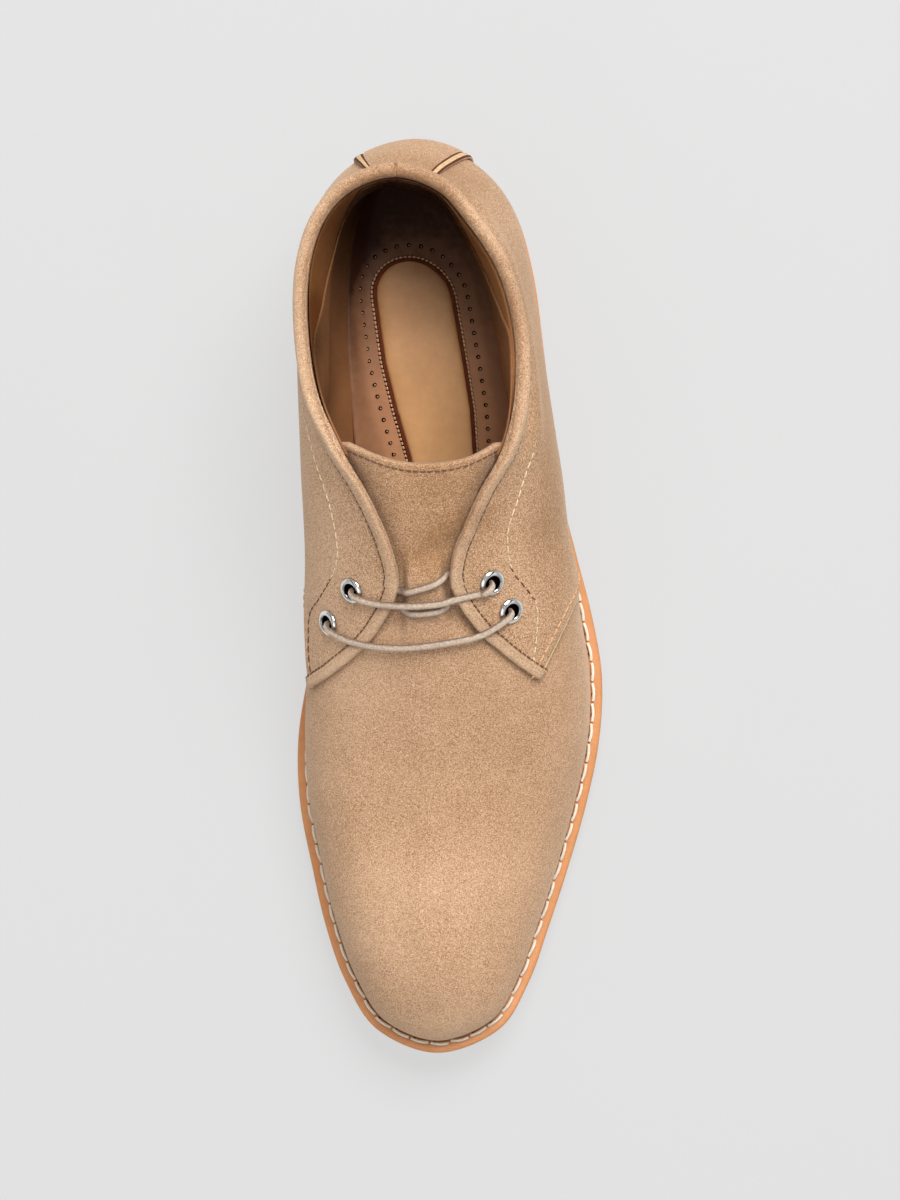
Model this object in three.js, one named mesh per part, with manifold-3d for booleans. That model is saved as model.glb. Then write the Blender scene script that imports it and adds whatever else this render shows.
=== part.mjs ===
// A men's suede chukka boot for the wearer's left foot, two eyelets a side.
// Millimetres, +Z up. The toe points to -Y, the outer side of the foot (lateral) to +X,
// and the boot stands on Z = 0 with the middle of its outline over the origin.
import * as THREE from "three";
import { mergeVertices } from "three/addons/utils/BufferGeometryUtils.js";
import Module from "manifold-3d";

// ---------------------------------------------------------------- driving dimensions
const LENGTH = 300; // back of the heel to the tip of the toe, measured on the sole
const MIDDLE = { station: 150.76, side: 0.12 }; // the table's place that stands over the origin
const GAP = 0.3; // clearance between two pieces that touch

const HEEL_BLOCK = { height: 15, front: 74, taper: 1.2, breastHollow: 4, inset: 0.6 };
const OUTSOLE = { thickness: 5.5, shankEnd: 162, springStart: 222, toeSpring: 9 };
const MIDSOLE = { thickness: 3.6 };
const INSOLE = { thickness: 2.4, wallRoom: 2.6 };

const SUEDE = 1.8; // thickness of the vamp and the tongue
const QUARTER = { outer: 1.6, inner: -0.9, collarInner: -1.7 }; // wall faces, from the last's surface
const TONGUE_DIP = 3; // how far the tongue lies under the last's surface below the facings
const STAY = { thickness: 1.2, footWidth: 1.3, headWidth: 0.55, foot: 0.05, head: 0.88 };

const EYELET = { bore: 2.3, barrel: 2.7, flange: 4.3, flangeHeight: 1.3, depth: 2.4 };
const LACE = { width: 2.4, thickness: 1.3, sides: 8, steps: 18 };

// ---------------------------------------------------------------- the last, as a table of ribs
// One row for each rib, from the back of the heel (0) to the tip of the toe (16). A rib starts on the
// feather line, just inside the sole's edge, climbs the side to the shoulder line, and from rib 6 on
// goes over to the ridge of the foot. Up to the throat the shoulder line is the boot's own top edge.
//   station, medial, lateral       the sole's edge: distance from the heel, and its two sides
//   inset                          from the sole's edge in to the last
//   topStation, topMedial, topLateral, topHeight    the shoulder line
//   leanMedial, leanLateral        how far the wall leans outwards at the bottom, in degrees
//   tilt                           slope of the rib at the shoulder line, in degrees (90 is upright)
//   ridgeStation, ridge, ridgeHeight                the ridge of the foot
const COLUMNS = [
  "station", "medial", "lateral", "inset",
  "topStation", "topMedial", "topLateral", "topHeight",
  "leanMedial", "leanLateral", "tilt",
  "ridgeStation", "ridge", "ridgeHeight",
];
const RIBS = [
  [3, -8.6, -8.6, 3.6, 16.7, -17.2, -17.2, 93, 14, 14, 76, 0, 0, 0],
  [8.5, -26.6, 7.8, 3.6, 21, -31.2, -3.2, 92.5, 14, 14, 78, 0, 0, 0],
  [22, -36, 20.6, 3.6, 31, -40.8, 6.4, 91.5, 15, 13, 82, 0, 0, 0],
  [43, -39.8, 27.3, 3.6, 46.5, -45.8, 16.5, 90.5, 20, 10, 86, 0, 0, 0],
  [68, -40, 30.8, 3.7, 65.6, -46.3, 21.8, 90.5, 24, 10, 86, 0, 0, 0],
  [93, -38, 33.8, 3.8, 86, -43, 22, 94, 28, 11, 76, 90, -8, 107],
  [116, -36.8, 37, 4.0, 102.5, -35.4, 18, 95.5, 31, 10, 58, 104, -8, 103],
  [136, -38.2, 42, 4.2, 119, -24.8, 8.3, 92.5, 33, 6, 36, 120, -8, 96.3],
  [156, -42.6, 47.2, 4.4, 140.8, -16.4, 0, 84, 32, 4, 19, 141, -8, 85.5],
  [176, -47, 50.5, 4.5, 163, -17, 3, 71.5, 25, 4, 15, 163, -7.6, 73.5],
  [197, -50.2, 49.6, 4.5, 185, -19, 6.5, 60.3, 17, 8, 13, 185, -7, 62.5],
  [218, -49.6, 45.4, 4.5, 207, -21.5, 8, 51, 14, 9, 11, 207, -7, 53.2],
  [239, -45.6, 39.4, 4.5, 228, -22, 8.5, 45.6, 12, 12, 10, 228, -6.8, 47.8],
  [259, -40.9, 32.8, 4.5, 246, -20.8, 8.4, 43.2, 10, 10, 12, 244, -6.4, 45.6],
  [277, -34.3, 26.2, 4.5, 262, -17.8, 7.5, 41.2, 10, 10, 17, 258, -6, 44.2],
  [292.5, -23.8, 16.2, 4.5, 275, -12, 4, 39, 9, 9, 26, 0, 0, 0],
  [300, -4, -4, 4.6, 280.5, -4, -4, 38, 8, 8, 31, 0, 0, 0],
].map((row) => Object.fromEntries(COLUMNS.map((name, i) => [name, row[i]])));

const TOE = RIBS.length - 1; // the rib at the tip of the toe
const POLE = 13; // from this rib on, every rib ends at one point of the ridge
const POLE_SLOPE = -0.15; // the ridge's fall towards the toe, there
const HANDLE = 0.38; // length of a rib's control handles, as a share of its chord
const MEDIAL = -1;
const LATERAL = 1;

// The columns that differ between the two sides of the boot.
const SIDED = {
  edge: { [MEDIAL]: "medial", [LATERAL]: "lateral" },
  top: { [MEDIAL]: "topMedial", [LATERAL]: "topLateral" },
  lean: { [MEDIAL]: "leanMedial", [LATERAL]: "leanLateral" },
};

// The panels of the upper, as places on the last: rib number, and height on the rib
// (0 the feather line, 1 the shoulder line, 2 the ridge). The front of the tab runs from the throat to
// the tab's tip, and the seam from the feather line up to the tip.
const THROAT = 8.25;
const SEAM_FOOT = 7;
const TAB_FRONT = {
  medial: [[8.25, 1], [8.65, 0.965], [9.05, 0.89], [9.3, 0.79], [9.47, 0.64], [9.5, 0.46]],
  lateral: [[8.25, 1], [8.65, 0.965], [8.95, 0.91], [9.15, 0.84], [9.32, 0.75], [9.42, 0.66]],
};
const SEAM = {
  medial: [[SEAM_FOOT, 0], [7.5, 0.2], [8.1, 0.32], [8.7, 0.39], [9.1, 0.42], [9.5, 0.46]],
  lateral: [[SEAM_FOOT, 0], [7.5, 0.2], [8.1, 0.37], [8.6, 0.49], [9.05, 0.59], [9.42, 0.66]],
};
// The vamp's back edge under the quarters, as rows of height and rib.
const VAMP_BACK = {
  medial: [[0, 6.2], [0.2, 6.6], [0.32, 7.2], [0.42, 8.2], [0.52, 8.95], [0.88, 8.95], [1, 8.75], [2, 8.75]],
  lateral: [
    [0, 6.2], [0.2, 6.6], [0.4, 7.3], [0.55, 8.1], [0.63, 8.6], [0.7, 8.95], [0.88, 8.95], [1, 8.75], [2, 8.75],
  ],
};
const TONGUE_TOP = { rib: 6.38, curve: 0.42, side: 0.84 };
const TONGUE_FOOT = { gap: 0.02, medial: 0.56, lateral: 0.74 };
const EYELETS = [
  { name: "eyelet_medial_upper", side: MEDIAL, rib: 8.34, height: 0.8 },
  { name: "eyelet_medial_lower", side: MEDIAL, rib: 8.72, height: 0.65 },
  { name: "eyelet_lateral_upper", side: LATERAL, rib: 8.23, height: 0.85 },
  { name: "eyelet_lateral_lower", side: LATERAL, rib: 8.59, height: 0.78 },
];

// ---------------------------------------------------------------- curves and the last's surface
const mix = THREE.MathUtils.lerp;
const ease = (x, from, to) => THREE.MathUtils.smoothstep(x, from, to);

// Catmull-Rom through four values, for t from 0 to 1 between the middle two.
function through(before, a, b, after, t) {
  const slopeA = (b - before) / 2;
  const slopeB = (after - a) / 2;
  const c = 3 * (b - a) - 2 * slopeA - slopeB;
  const d = 2 * (a - b) + slopeA + slopeB;
  return a + t * (slopeA + t * (c + t * d));
}

// A column of the table at any rib number. Beyond either end the ribs go on round the other side.
function column(name, rib, side) {
  const key = (s) => SIDED[name]?.[s] ?? name;
  const value = (i) => {
    if (i < 0) return RIBS[-i][key(-side)];
    if (i > TOE) return RIBS[2 * TOE - i][key(-side)];
    return RIBS[i][key(side)];
  };
  const i = Math.min(Math.floor(rib), TOE - 1);
  return through(value(i - 1), value(i), value(i + 1), value(i + 2), rib - i);
}

// The underside of the outsole above the ground: level over the heel block, an S-curve through the
// shank, level under the ball of the foot, and the toe spring.
function soleBottom(station) {
  const heel = HEEL_BLOCK.height + GAP;
  const shank = heel * (1 - ease(station, HEEL_BLOCK.front - 6, OUTSOLE.shankEnd));
  const toeward = Math.max(0, station - OUTSOLE.springStart) / (LENGTH - OUTSOLE.springStart);
  return shank + OUTSOLE.toeSpring * toeward ** 2;
}
const outsoleTop = (station) => soleBottom(station) + OUTSOLE.thickness;
const midsoleBottom = (station) => outsoleTop(station) + GAP;
const midsoleTop = (station) => midsoleBottom(station) + MIDSOLE.thickness;

// From station along the boot to a point in the boot's frame.
const place = (x, station, z) => new THREE.Vector3(x - MIDDLE.side, MIDDLE.station - station, z);

// The sole's edge in plan, and the inward direction there.
function soleEdge(rib, side) {
  return place(column("edge", rib, side), column("station", rib, side), 0);
}
function inward(rib, side) {
  const step = 0.02;
  const ahead = rib + step > TOE ? soleEdge(2 * TOE - rib - step, -side) : soleEdge(rib + step, side);
  const behind = rib < step ? soleEdge(step - rib, -side) : soleEdge(rib - step, side);
  const along = ahead.sub(behind).normalize();
  return new THREE.Vector3(side * along.y, -side * along.x, 0);
}

// Where the last meets the midsole.
function feather(rib, side, extra = 0) {
  const inset = column("inset", rib, side) + extra;
  return soleEdge(rib, side)
    .addScaledVector(inward(rib, side), inset)
    .setZ(midsoleTop(column("station", rib, side)) + GAP);
}
function shoulder(rib, side) {
  return place(column("top", rib, side), column("topStation", rib, side), column("topHeight", rib, side));
}
function ridge(rib) {
  const i = Math.min(rib, POLE);
  const [x, station, z] = ["ridge", "ridgeStation", "ridgeHeight"].map((name) => column(name, i, LATERAL));
  return place(x, station, z);
}
// The way a rib leaves the ridge: straight sideways, and fanned forwards round the toe.
function ridgeLeave(rib, side) {
  const turn = (Math.max(0, rib - POLE) / (TOE - POLE)) * (Math.PI / 2);
  return new THREE.Vector3(side * Math.cos(turn), -Math.sin(turn), POLE_SLOPE * Math.sin(turn));
}

function bezier(p0, p1, p2, p3, t) {
  const s = 1 - t;
  return new THREE.Vector3()
    .addScaledVector(p0, s * s * s)
    .addScaledVector(p1, 3 * s * s * t)
    .addScaledVector(p2, 3 * s * t * t)
    .addScaledVector(p3, t * t * t);
}

// The surface of the last. Ribs before the heel's or past the toe's, and heights past the ridge, go on
// to the other side, so that the surface has no edge there.
function last(rib, height, side) {
  if (rib < 0) return last(-rib, height, -side);
  if (rib > TOE) return last(2 * TOE - rib, height, -side);
  if (height > 2) return last(rib, 4 - height, -side);
  const up = new THREE.Vector3(0, 0, 1);
  const into = inward(rib, side);
  const tilt = THREE.MathUtils.degToRad(column("tilt", rib, side));
  const climb = into.clone().multiplyScalar(Math.cos(tilt)).addScaledVector(up, Math.sin(tilt));
  const top = shoulder(rib, side);
  if (height <= 1) {
    const foot = feather(rib, side);
    const lean = THREE.MathUtils.degToRad(column("lean", rib, side));
    const reach = foot.distanceTo(top) * HANDLE;
    const leave = up.clone().multiplyScalar(Math.cos(lean)).addScaledVector(into, -Math.sin(lean));
    const a = foot.clone().addScaledVector(leave, reach);
    const b = top.clone().addScaledVector(climb, -reach);
    return bezier(foot, a, b, top, height);
  }
  const end = ridge(rib);
  const reach = top.distanceTo(end) * HANDLE;
  const a = top.clone().addScaledVector(climb, reach);
  const b = end.clone().addScaledVector(ridgeLeave(rib, side), reach);
  return bezier(top, a, b, end, height - 1);
}

// The outward normal of the last. Along the feather line it is level, so that every wall ends flat.
function normal(rib, height, side) {
  const step = 0.01;
  const h = rib > POLE - 0.5 ? Math.min(height, 2 - 3 * step) : height;
  const low = Math.max(0, h - step);
  const upward = last(rib, h + step, side).sub(last(rib, low, side));
  const forward = last(rib + step, h, side).sub(last(rib - step, h, side));
  const n = upward.cross(forward).multiplyScalar(side);
  if (height === 0) n.z = 0;
  return n.normalize();
}
function skin(rib, height, side, offset) {
  return last(rib, height, side).addScaledVector(normal(rib, height, side), offset);
}

// ---------------------------------------------------------------- closed meshes and joining
const wasm = await Module();
wasm.setup();

// A geometry from triangles of points, with equal points merged and collapsed triangles dropped.
function geometryOf(triangles) {
  const positions = new Float32Array(triangles.flatMap((p) => [p.x, p.y, p.z]));
  const loose = new THREE.BufferGeometry();
  loose.setAttribute("position", new THREE.BufferAttribute(positions, 3));
  const merged = mergeVertices(loose, 1e-3);
  const index = [];
  for (let i = 0; i < merged.index.count; i += 3) {
    const [a, b, c] = [0, 1, 2].map((j) => merged.index.getX(i + j));
    if (a !== b && b !== c && c !== a) index.push(a, b, c);
  }
  merged.setIndex(index);
  return merged;
}
function solidOf(geometry) {
  const plain = new THREE.BufferGeometry().setAttribute("position", geometry.getAttribute("position"));
  if (geometry.index) plain.setIndex(geometry.index);
  const merged = mergeVertices(plain, 1e-3);
  return new wasm.Manifold(
    new wasm.Mesh({
      numProp: 3,
      vertProperties: new Float32Array(merged.attributes.position.array),
      triVerts: new Uint32Array(merged.index.array),
    }),
  );
}
function geometryFrom(solid) {
  const mesh = solid.getMesh();
  const geometry = new THREE.BufferGeometry();
  geometry.setAttribute("position", new THREE.BufferAttribute(mesh.vertProperties, 3));
  geometry.setIndex(new THREE.BufferAttribute(mesh.triVerts, 1));
  return geometry;
}

// A wall between two grids of points of the same size. Ends that close on themselves, as at the toe,
// need no edge and are left out.
function wall(outer, inner, closedEnd = false) {
  const triangles = [];
  const quad = (a, b, c, d) => triangles.push(a, b, c, a, c, d);
  const lastRow = outer.length - 1;
  const lastColumn = outer[0].length - 1;
  for (let i = 0; i < lastRow; i++) {
    for (let j = 0; j < lastColumn; j++) {
      quad(outer[i][j], outer[i + 1][j], outer[i + 1][j + 1], outer[i][j + 1]);
      quad(inner[i][j], inner[i][j + 1], inner[i + 1][j + 1], inner[i + 1][j]);
    }
    quad(outer[i][0], inner[i][0], inner[i + 1][0], outer[i + 1][0]);
    quad(outer[i][lastColumn], outer[i + 1][lastColumn], inner[i + 1][lastColumn], inner[i][lastColumn]);
  }
  for (let j = 0; j < lastColumn; j++) {
    quad(outer[0][j], outer[0][j + 1], inner[0][j + 1], inner[0][j]);
    if (!closedEnd) {
      quad(outer[lastRow][j], inner[lastRow][j], inner[lastRow][j + 1], outer[lastRow][j + 1]);
    }
  }
  return geometryOf(triangles);
}
const steps = (count) => Array.from({ length: count + 1 }, (_, i) => i / count);

// ---------------------------------------------------------------- the sole
// A layer with the plan of the sole's edge, drawn in by inset, between two heights that follow the station.
function layer(ribs, inset, low, high, lowInset = inset) {
  const ring = (rib, extra, z) =>
    [MEDIAL, LATERAL].map((side) => {
      const p = soleEdge(rib, side).addScaledVector(inward(rib, side), extra);
      return p.setZ(z(MIDDLE.station - p.y));
    });
  const upper = ribs.map((rib) => ring(rib, inset, high));
  const lower = ribs.map((rib) => ring(rib, lowInset, low));
  return wall(upper, lower);
}
const allRibs = steps(TOE * 4).map((t) => t * TOE);

function heelBlock() {
  const ribs = steps(18).map((t) => t * 4.15);
  const { inset, taper, height } = HEEL_BLOCK;
  const block = layer(ribs, inset, () => 0, () => height, inset + taper);
  // The breast is hollowed by a wide upright cylinder in front of it.
  const width = 90;
  const hollow = HEEL_BLOCK.breastHollow;
  const radius = (width * width) / (8 * hollow);
  const cutter = new THREE.CylinderGeometry(radius, radius, 60, 160);
  cutter.rotateX(Math.PI / 2);
  cutter.translate(-4, MIDDLE.station - HEEL_BLOCK.front - radius + hollow, HEEL_BLOCK.height / 2);
  return geometryFrom(solidOf(block).subtract(solidOf(cutter)));
}

function insole() {
  const ribs = allRibs;
  const floor = (station) => midsoleTop(station) + GAP;
  const ring = (rib, z) =>
    [MEDIAL, LATERAL].map((side) => {
      const p = feather(rib, side, INSOLE.wallRoom);
      return p.setZ(z(column("station", rib, side)));
    });
  const upper = ribs.map((rib) => ring(rib, (s) => floor(s) + INSOLE.thickness));
  const lower = ribs.map((rib) => ring(rib, floor));
  return wall(upper, lower);
}

// ---------------------------------------------------------------- the upper
// A smooth line through places on the last, for t from 0 to 1.
function route(places, t) {
  const x = t * (places.length - 1);
  const i = Math.min(Math.floor(x), places.length - 2);
  const at = (k, j) => {
    if (k < 0) return 2 * places[0][j] - places[1][j];
    if (k >= places.length) return 2 * places[k - 1][j] - places[k - 2][j];
    return places[k][j];
  };
  const value = (j) => through(at(i - 1, j), at(i, j), at(i + 1, j), at(i + 2, j), x - i);
  return { rib: value(0), height: value(1) };
}
const half = (side) => (side === MEDIAL ? "medial" : "lateral");

// A place on the quarter from u, back of the heel to front, and v, bottom to top edge. The top edge
// runs along the shoulder line to the throat, then down the front of the tab to its tip.
const THROAT_SHARE = 0.84;
function quarterPlace(u, v, side) {
  const down = Math.max(0, u - THROAT_SHARE) / (1 - THROAT_SHARE);
  const along = { rib: (u / THROAT_SHARE) * THROAT, height: 1 };
  const top = down > 0 ? route(TAB_FRONT[half(side)], down) : along;
  const seam = route(SEAM[half(side)], v);
  const tip = route(SEAM[half(side)], 1);
  const blend = (key) => v * top[key] + u * seam[key] - u * v * tip[key];
  return { rib: blend("rib"), height: blend("height") };
}
function quarterInner(place) {
  return mix(QUARTER.collarInner, QUARTER.inner, ease(place.rib, 4.6, 6.2));
}
function quarters() {
  const across = steps(52).map((t) => 1 - 2 * t);
  const up = steps(11);
  const point = (u, v, offset) => {
    const side = u < 0 ? MEDIAL : LATERAL;
    const where = quarterPlace(Math.abs(u), v, side);
    return skin(where.rib, where.height, side, offset(where));
  };
  const outer = across.map((u) => up.map((v) => point(u, v, () => QUARTER.outer)));
  const inner = across.map((u) => up.map((v) => point(u, v, quarterInner)));
  return wall(outer, inner);
}

// The rib where the vamp ends, at each height.
function vampBack(height, side) {
  const rows = VAMP_BACK[half(side)];
  const next = Math.max(1, rows.findIndex((row) => row[0] >= height));
  const [a, b] = [rows[next - 1], rows[next]];
  return mix(a[1], b[1], (height - a[0]) / (b[0] - a[0]));
}
function vamp() {
  const along = steps(20);
  const heights = steps(18).map((t) => 2 * t);
  const back = heights.slice(0, -1).reverse();
  const over = [...heights.map((h) => [MEDIAL, h]), ...back.map((h) => [LATERAL, h])];
  const grid = (offset) =>
    along.map((t) => over.map(([side, h]) => skin(mix(vampBack(h, side), TOE, t), h, side, offset)));
  return wall(grid(0), grid(-SUEDE), true);
}

// How far the tongue's face lies off the last: it dips under the facings and rises between them.
function tongueFace(rib, height) {
  const open = ease(height, 1, 1.4) * ease(rib, 7.7, 8.4);
  return -TONGUE_DIP * (1 - open);
}
// The tongue goes on from the vamp. Its top edge is a shallow curve.
function tongue() {
  const along = steps(14);
  const across = steps(18).map((t) => 2 * t - 1);
  const point = (t, a, offset) => {
    const side = a < 0 ? MEDIAL : LATERAL;
    const foot = TONGUE_FOOT[half(side)];
    const height = 2 - Math.abs(a) * (2 - mix(TONGUE_TOP.side, foot, t));
    const footRib = vampBack(2 - Math.abs(a) * (2 - foot), side) - TONGUE_FOOT.gap;
    const rib = mix(TONGUE_TOP.rib - TONGUE_TOP.curve * a * a, footRib, t);
    return skin(rib, height, side, offset + tongueFace(rib, height));
  };
  const outer = along.map((t) => across.map((a) => point(t, a, 0)));
  const inner = along.map((t) => across.map((a) => point(t, a, -SUEDE)));
  return wall(outer, inner);
}

// The stay up the back of the heel, an overlay that widens downwards.
function heelStay() {
  const across = steps(10).map((t) => 1 - 2 * t);
  const up = steps(8);
  const point = (a, v, offset) => {
    const half = mix(STAY.footWidth, STAY.headWidth, v);
    const height = mix(STAY.foot, STAY.head, v);
    return skin(Math.abs(a) * half, height, a < 0 ? MEDIAL : LATERAL, offset);
  };
  const low = QUARTER.outer + GAP;
  const outer = across.map((a) => up.map((v) => point(a, v, low + STAY.thickness)));
  const inner = across.map((a) => up.map((v) => point(a, v, low)));
  return wall(outer, inner);
}

// ---------------------------------------------------------------- eyelets and lace
// A point on the quarter's outer face and the frame that an eyelet stands in.
function eyeletFrame({ side, rib, height }) {
  const axis = normal(rib, height, side);
  const turn = new THREE.Quaternion().setFromUnitVectors(new THREE.Vector3(0, 1, 0), axis);
  return { at: skin(rib, height, side, QUARTER.outer), axis, turn };
}
function eyeletShape() {
  const { bore, barrel, flange, flangeHeight, depth } = EYELET;
  const profile = [
    [bore, -depth],
    [barrel, -depth],
    [barrel, GAP],
    [flange, GAP],
    [flange - 0.3, flangeHeight * 0.7],
    [(flange + bore) / 2, flangeHeight],
    [bore + 0.3, flangeHeight * 0.7],
    [bore, 0],
    [bore, -depth],
  ].map(([r, y]) => new THREE.Vector2(r, y));
  return geometryOf(trianglesOf(new THREE.LatheGeometry(profile, 16)));
}
function trianglesOf(geometry) {
  const flat = geometry.index ? geometry.toNonIndexed() : geometry;
  const position = flat.getAttribute("position");
  const corner = (_, i) => new THREE.Vector3().fromBufferAttribute(position, i);
  return Array.from({ length: position.count }, corner);
}
// A clearance hole for an eyelet's barrel.
function eyeletHole(eyelet) {
  const { at, turn } = eyeletFrame(eyelet);
  const hole = new THREE.CylinderGeometry(EYELET.barrel + GAP, EYELET.barrel + GAP, 14, 16);
  hole.applyQuaternion(turn);
  hole.translate(at.x, at.y, at.z);
  return solidOf(hole);
}

// The lace's flat runs: over the facings, and under them on the tongue. Between its two eyelets a run
// passes the places in its row; the last number lifts it further off what it lies on.
const LACES = [
  {
    name: "lace_over_upper", from: EYELETS[0], to: EYELETS[2], above: true,
    places: [
      [MEDIAL, 8.49, 0.9, 0.3], [MEDIAL, 8.48, 1, 0], [MEDIAL, 8.47, 1.6, 0],
      [LATERAL, 8.44, 1.5, 0], [LATERAL, 8.4, 1, 0], [LATERAL, 8.36, 0.9, 0.3],
    ],
  },
  {
    name: "lace_over_lower", from: EYELETS[1], to: EYELETS[3], above: true,
    places: [
      [MEDIAL, 9.0, 0.77, 0], [MEDIAL, 9.1, 0.9, 0], [MEDIAL, 9.08, 1.43, -0.5],
      [LATERAL, 9.02, 1.42, -0.5], [LATERAL, 8.92, 0.92, 0],
    ],
  },
  {
    name: "lace_under_upper", from: EYELETS[0], to: EYELETS[2], above: false,
    places: [
      [MEDIAL, 8.34, 0.93, 0], [MEDIAL, 8.33, 1.03, 0], [MEDIAL, 8.3, 1.18, 0.4], [MEDIAL, 8.26, 1.4, 0.3],
      [LATERAL, 8.14, 1.6, 0.2], [LATERAL, 8.08, 1.2, 0.4],
      [LATERAL, 8.05, 1.05, 0], [LATERAL, 8.08, 0.93, 0],
    ],
  },
  {
    name: "lace_under_lower", from: EYELETS[1], to: EYELETS[3], above: false,
    places: [
      [MEDIAL, 8.62, 0.85, 0], [MEDIAL, 8.56, 1.03, 0], [MEDIAL, 8.57, 1.18, 0.4], [MEDIAL, 8.58, 1.4, 0.3],
      [LATERAL, 8.59, 1.4, 0.3], [LATERAL, 8.57, 1.18, 0.4],
      [LATERAL, 8.55, 1.03, 0], [LATERAL, 8.56, 0.9, 0],
    ],
  },
];
const OVER = QUARTER.outer + GAP + LACE.thickness / 2 + 0.2;
const UNDER = GAP + LACE.thickness / 2 + 0.15;
// The way through an eyelet, as [distance from its axis, height off the last], from inside outwards.
const THROUGH = {
  above: [[0, 1], [0.5, 3], [2.4, 4.1], [4.6, 3.9]],
  below: [[0, 0.5], [0.1, -0.6], [0.9, -1.6], [2.4, UNDER - TONGUE_DIP]],
};
function throughEyelet(eyelet, above, towards) {
  const { at, axis } = eyeletFrame(eyelet);
  const away = towards.clone().sub(at).projectOnPlane(axis).normalize();
  const rows = above ? THROUGH.above : THROUGH.below;
  return rows.map(([r, lift]) => ({
    at: at.clone().addScaledVector(away, r).addScaledVector(axis, lift - QUARTER.outer),
    up: axis,
  }));
}
// A flat cord along points, each with the direction its flat face looks.
function cord(points) {
  const line = new THREE.CatmullRomCurve3(points.map((p) => p.at), false, "centripetal");
  const faces = new THREE.CatmullRomCurve3(points.map((p) => p.up), false, "centripetal");
  const rings = steps(LACE.steps).map((u) => {
    const t = line.getUtoTmapping(u);
    const along = line.getTangent(t);
    const across = faces.getPoint(t).cross(along).normalize();
    const up = along.clone().cross(across);
    return steps(LACE.sides).map((k) => {
      const angle = k * 2 * Math.PI;
      return line
        .getPoint(t)
        .addScaledVector(across, (Math.cos(angle) * LACE.width) / 2)
        .addScaledVector(up, (Math.sin(angle) * LACE.thickness) / 2);
    });
  });
  const triangles = [];
  for (let i = 0; i < rings.length - 1; i++) {
    for (let k = 0; k < LACE.sides; k++) {
      const [a, b, c, d] = [rings[i][k], rings[i][k + 1], rings[i + 1][k + 1], rings[i + 1][k]];
      triangles.push(a, b, c, a, c, d);
    }
  }
  for (let k = 1; k < LACE.sides - 1; k++) {
    const end = rings[rings.length - 1];
    triangles.push(rings[0][0], rings[0][k + 1], rings[0][k], end[0], end[k], end[k + 1]);
  }
  return geometryOf(triangles);
}
function lace({ from, to, above, places }) {
  const between = places.map(([side, rib, height, rise]) => ({
    at: skin(rib, height, side, rise + (above ? OVER : UNDER + tongueFace(rib, height))),
    up: normal(rib, height, side),
  }));
  const start = throughEyelet(from, above, between[0].at);
  const finish = throughEyelet(to, above, between[between.length - 1].at).reverse();
  return cord([...start, ...between, ...finish]);
}

function upper() {
  const joined = solidOf(vamp()).add(solidOf(quarters()));
  return geometryFrom(EYELETS.reduce((solid, eyelet) => solid.subtract(eyeletHole(eyelet)), joined));
}

// ---------------------------------------------------------------- the boot
const suede = new THREE.MeshStandardMaterial({ color: 0xc9a27e, roughness: 0.95, metalness: 0 });
const rubber = new THREE.MeshStandardMaterial({ color: 0xc98a52, roughness: 0.6, metalness: 0 });
const welting = new THREE.MeshStandardMaterial({ color: 0xd2935c, roughness: 0.5, metalness: 0 });
const lining = new THREE.MeshStandardMaterial({ color: 0x96694b, roughness: 0.6, metalness: 0 });
const cotton = new THREE.MeshStandardMaterial({ color: 0xb49980, roughness: 0.8, metalness: 0 });
const steel = new THREE.MeshStandardMaterial({ color: 0xc9c9cc, roughness: 0.2, metalness: 1 });

const boot = new THREE.Group();
function add(name, geometry, material) {
  const mesh = new THREE.Mesh(geometry, material);
  mesh.name = name;
  boot.add(mesh);
  return mesh;
}

add("heel", heelBlock(), rubber);
add("outsole", layer(allRibs, 0, soleBottom, outsoleTop), rubber);
add("midsole", layer(allRibs, 0, midsoleBottom, midsoleTop), welting);
add("insole", insole(), lining);
add("upper", upper(), suede);
add("tongue", tongue(), suede);
add("heel_stay", heelStay(), suede);
for (const eyelet of EYELETS) {
  const { at, turn } = eyeletFrame(eyelet);
  const mesh = add(eyelet.name, eyeletShape(), steel);
  mesh.position.copy(at);
  mesh.quaternion.copy(turn);
}
for (const run of LACES) add(run.name, lace(run), cotton);

export default boot;
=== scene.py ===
"""The looks of a men's suede chukka boot, left foot, around its CAD frame.

Shapes are worked out in millimetres on the surface of the boot's last, in the CAD part's own frame
(+Z up, toe to -Y, outer side of the foot to +X), and become metres when a mesh is made.
"""

import math

import bmesh
import bpy
import numpy as np
from bpy.props import FloatProperty, PointerProperty, StringProperty
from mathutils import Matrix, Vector


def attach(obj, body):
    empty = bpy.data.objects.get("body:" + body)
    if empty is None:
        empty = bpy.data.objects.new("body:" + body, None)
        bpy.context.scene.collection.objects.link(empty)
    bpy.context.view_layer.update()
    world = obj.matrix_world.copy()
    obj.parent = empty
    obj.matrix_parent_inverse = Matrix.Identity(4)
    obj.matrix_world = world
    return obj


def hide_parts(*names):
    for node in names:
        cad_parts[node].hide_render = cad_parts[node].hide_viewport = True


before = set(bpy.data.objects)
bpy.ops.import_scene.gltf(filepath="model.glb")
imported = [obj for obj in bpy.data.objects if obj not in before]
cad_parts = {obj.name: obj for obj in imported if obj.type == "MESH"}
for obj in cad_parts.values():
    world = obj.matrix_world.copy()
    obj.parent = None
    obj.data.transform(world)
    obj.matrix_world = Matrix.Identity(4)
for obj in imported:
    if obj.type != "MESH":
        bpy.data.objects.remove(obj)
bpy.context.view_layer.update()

bl_info = {
    "name": "Chukka Boot",
    "version": (1, 0, 0),
    "blender": (4, 5, 0),
    "location": "3D View > Sidebar > Boot",
    "description": "Makes the finished pieces of a suede chukka boot around its CAD frame",
    "category": "Object",
}

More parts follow.
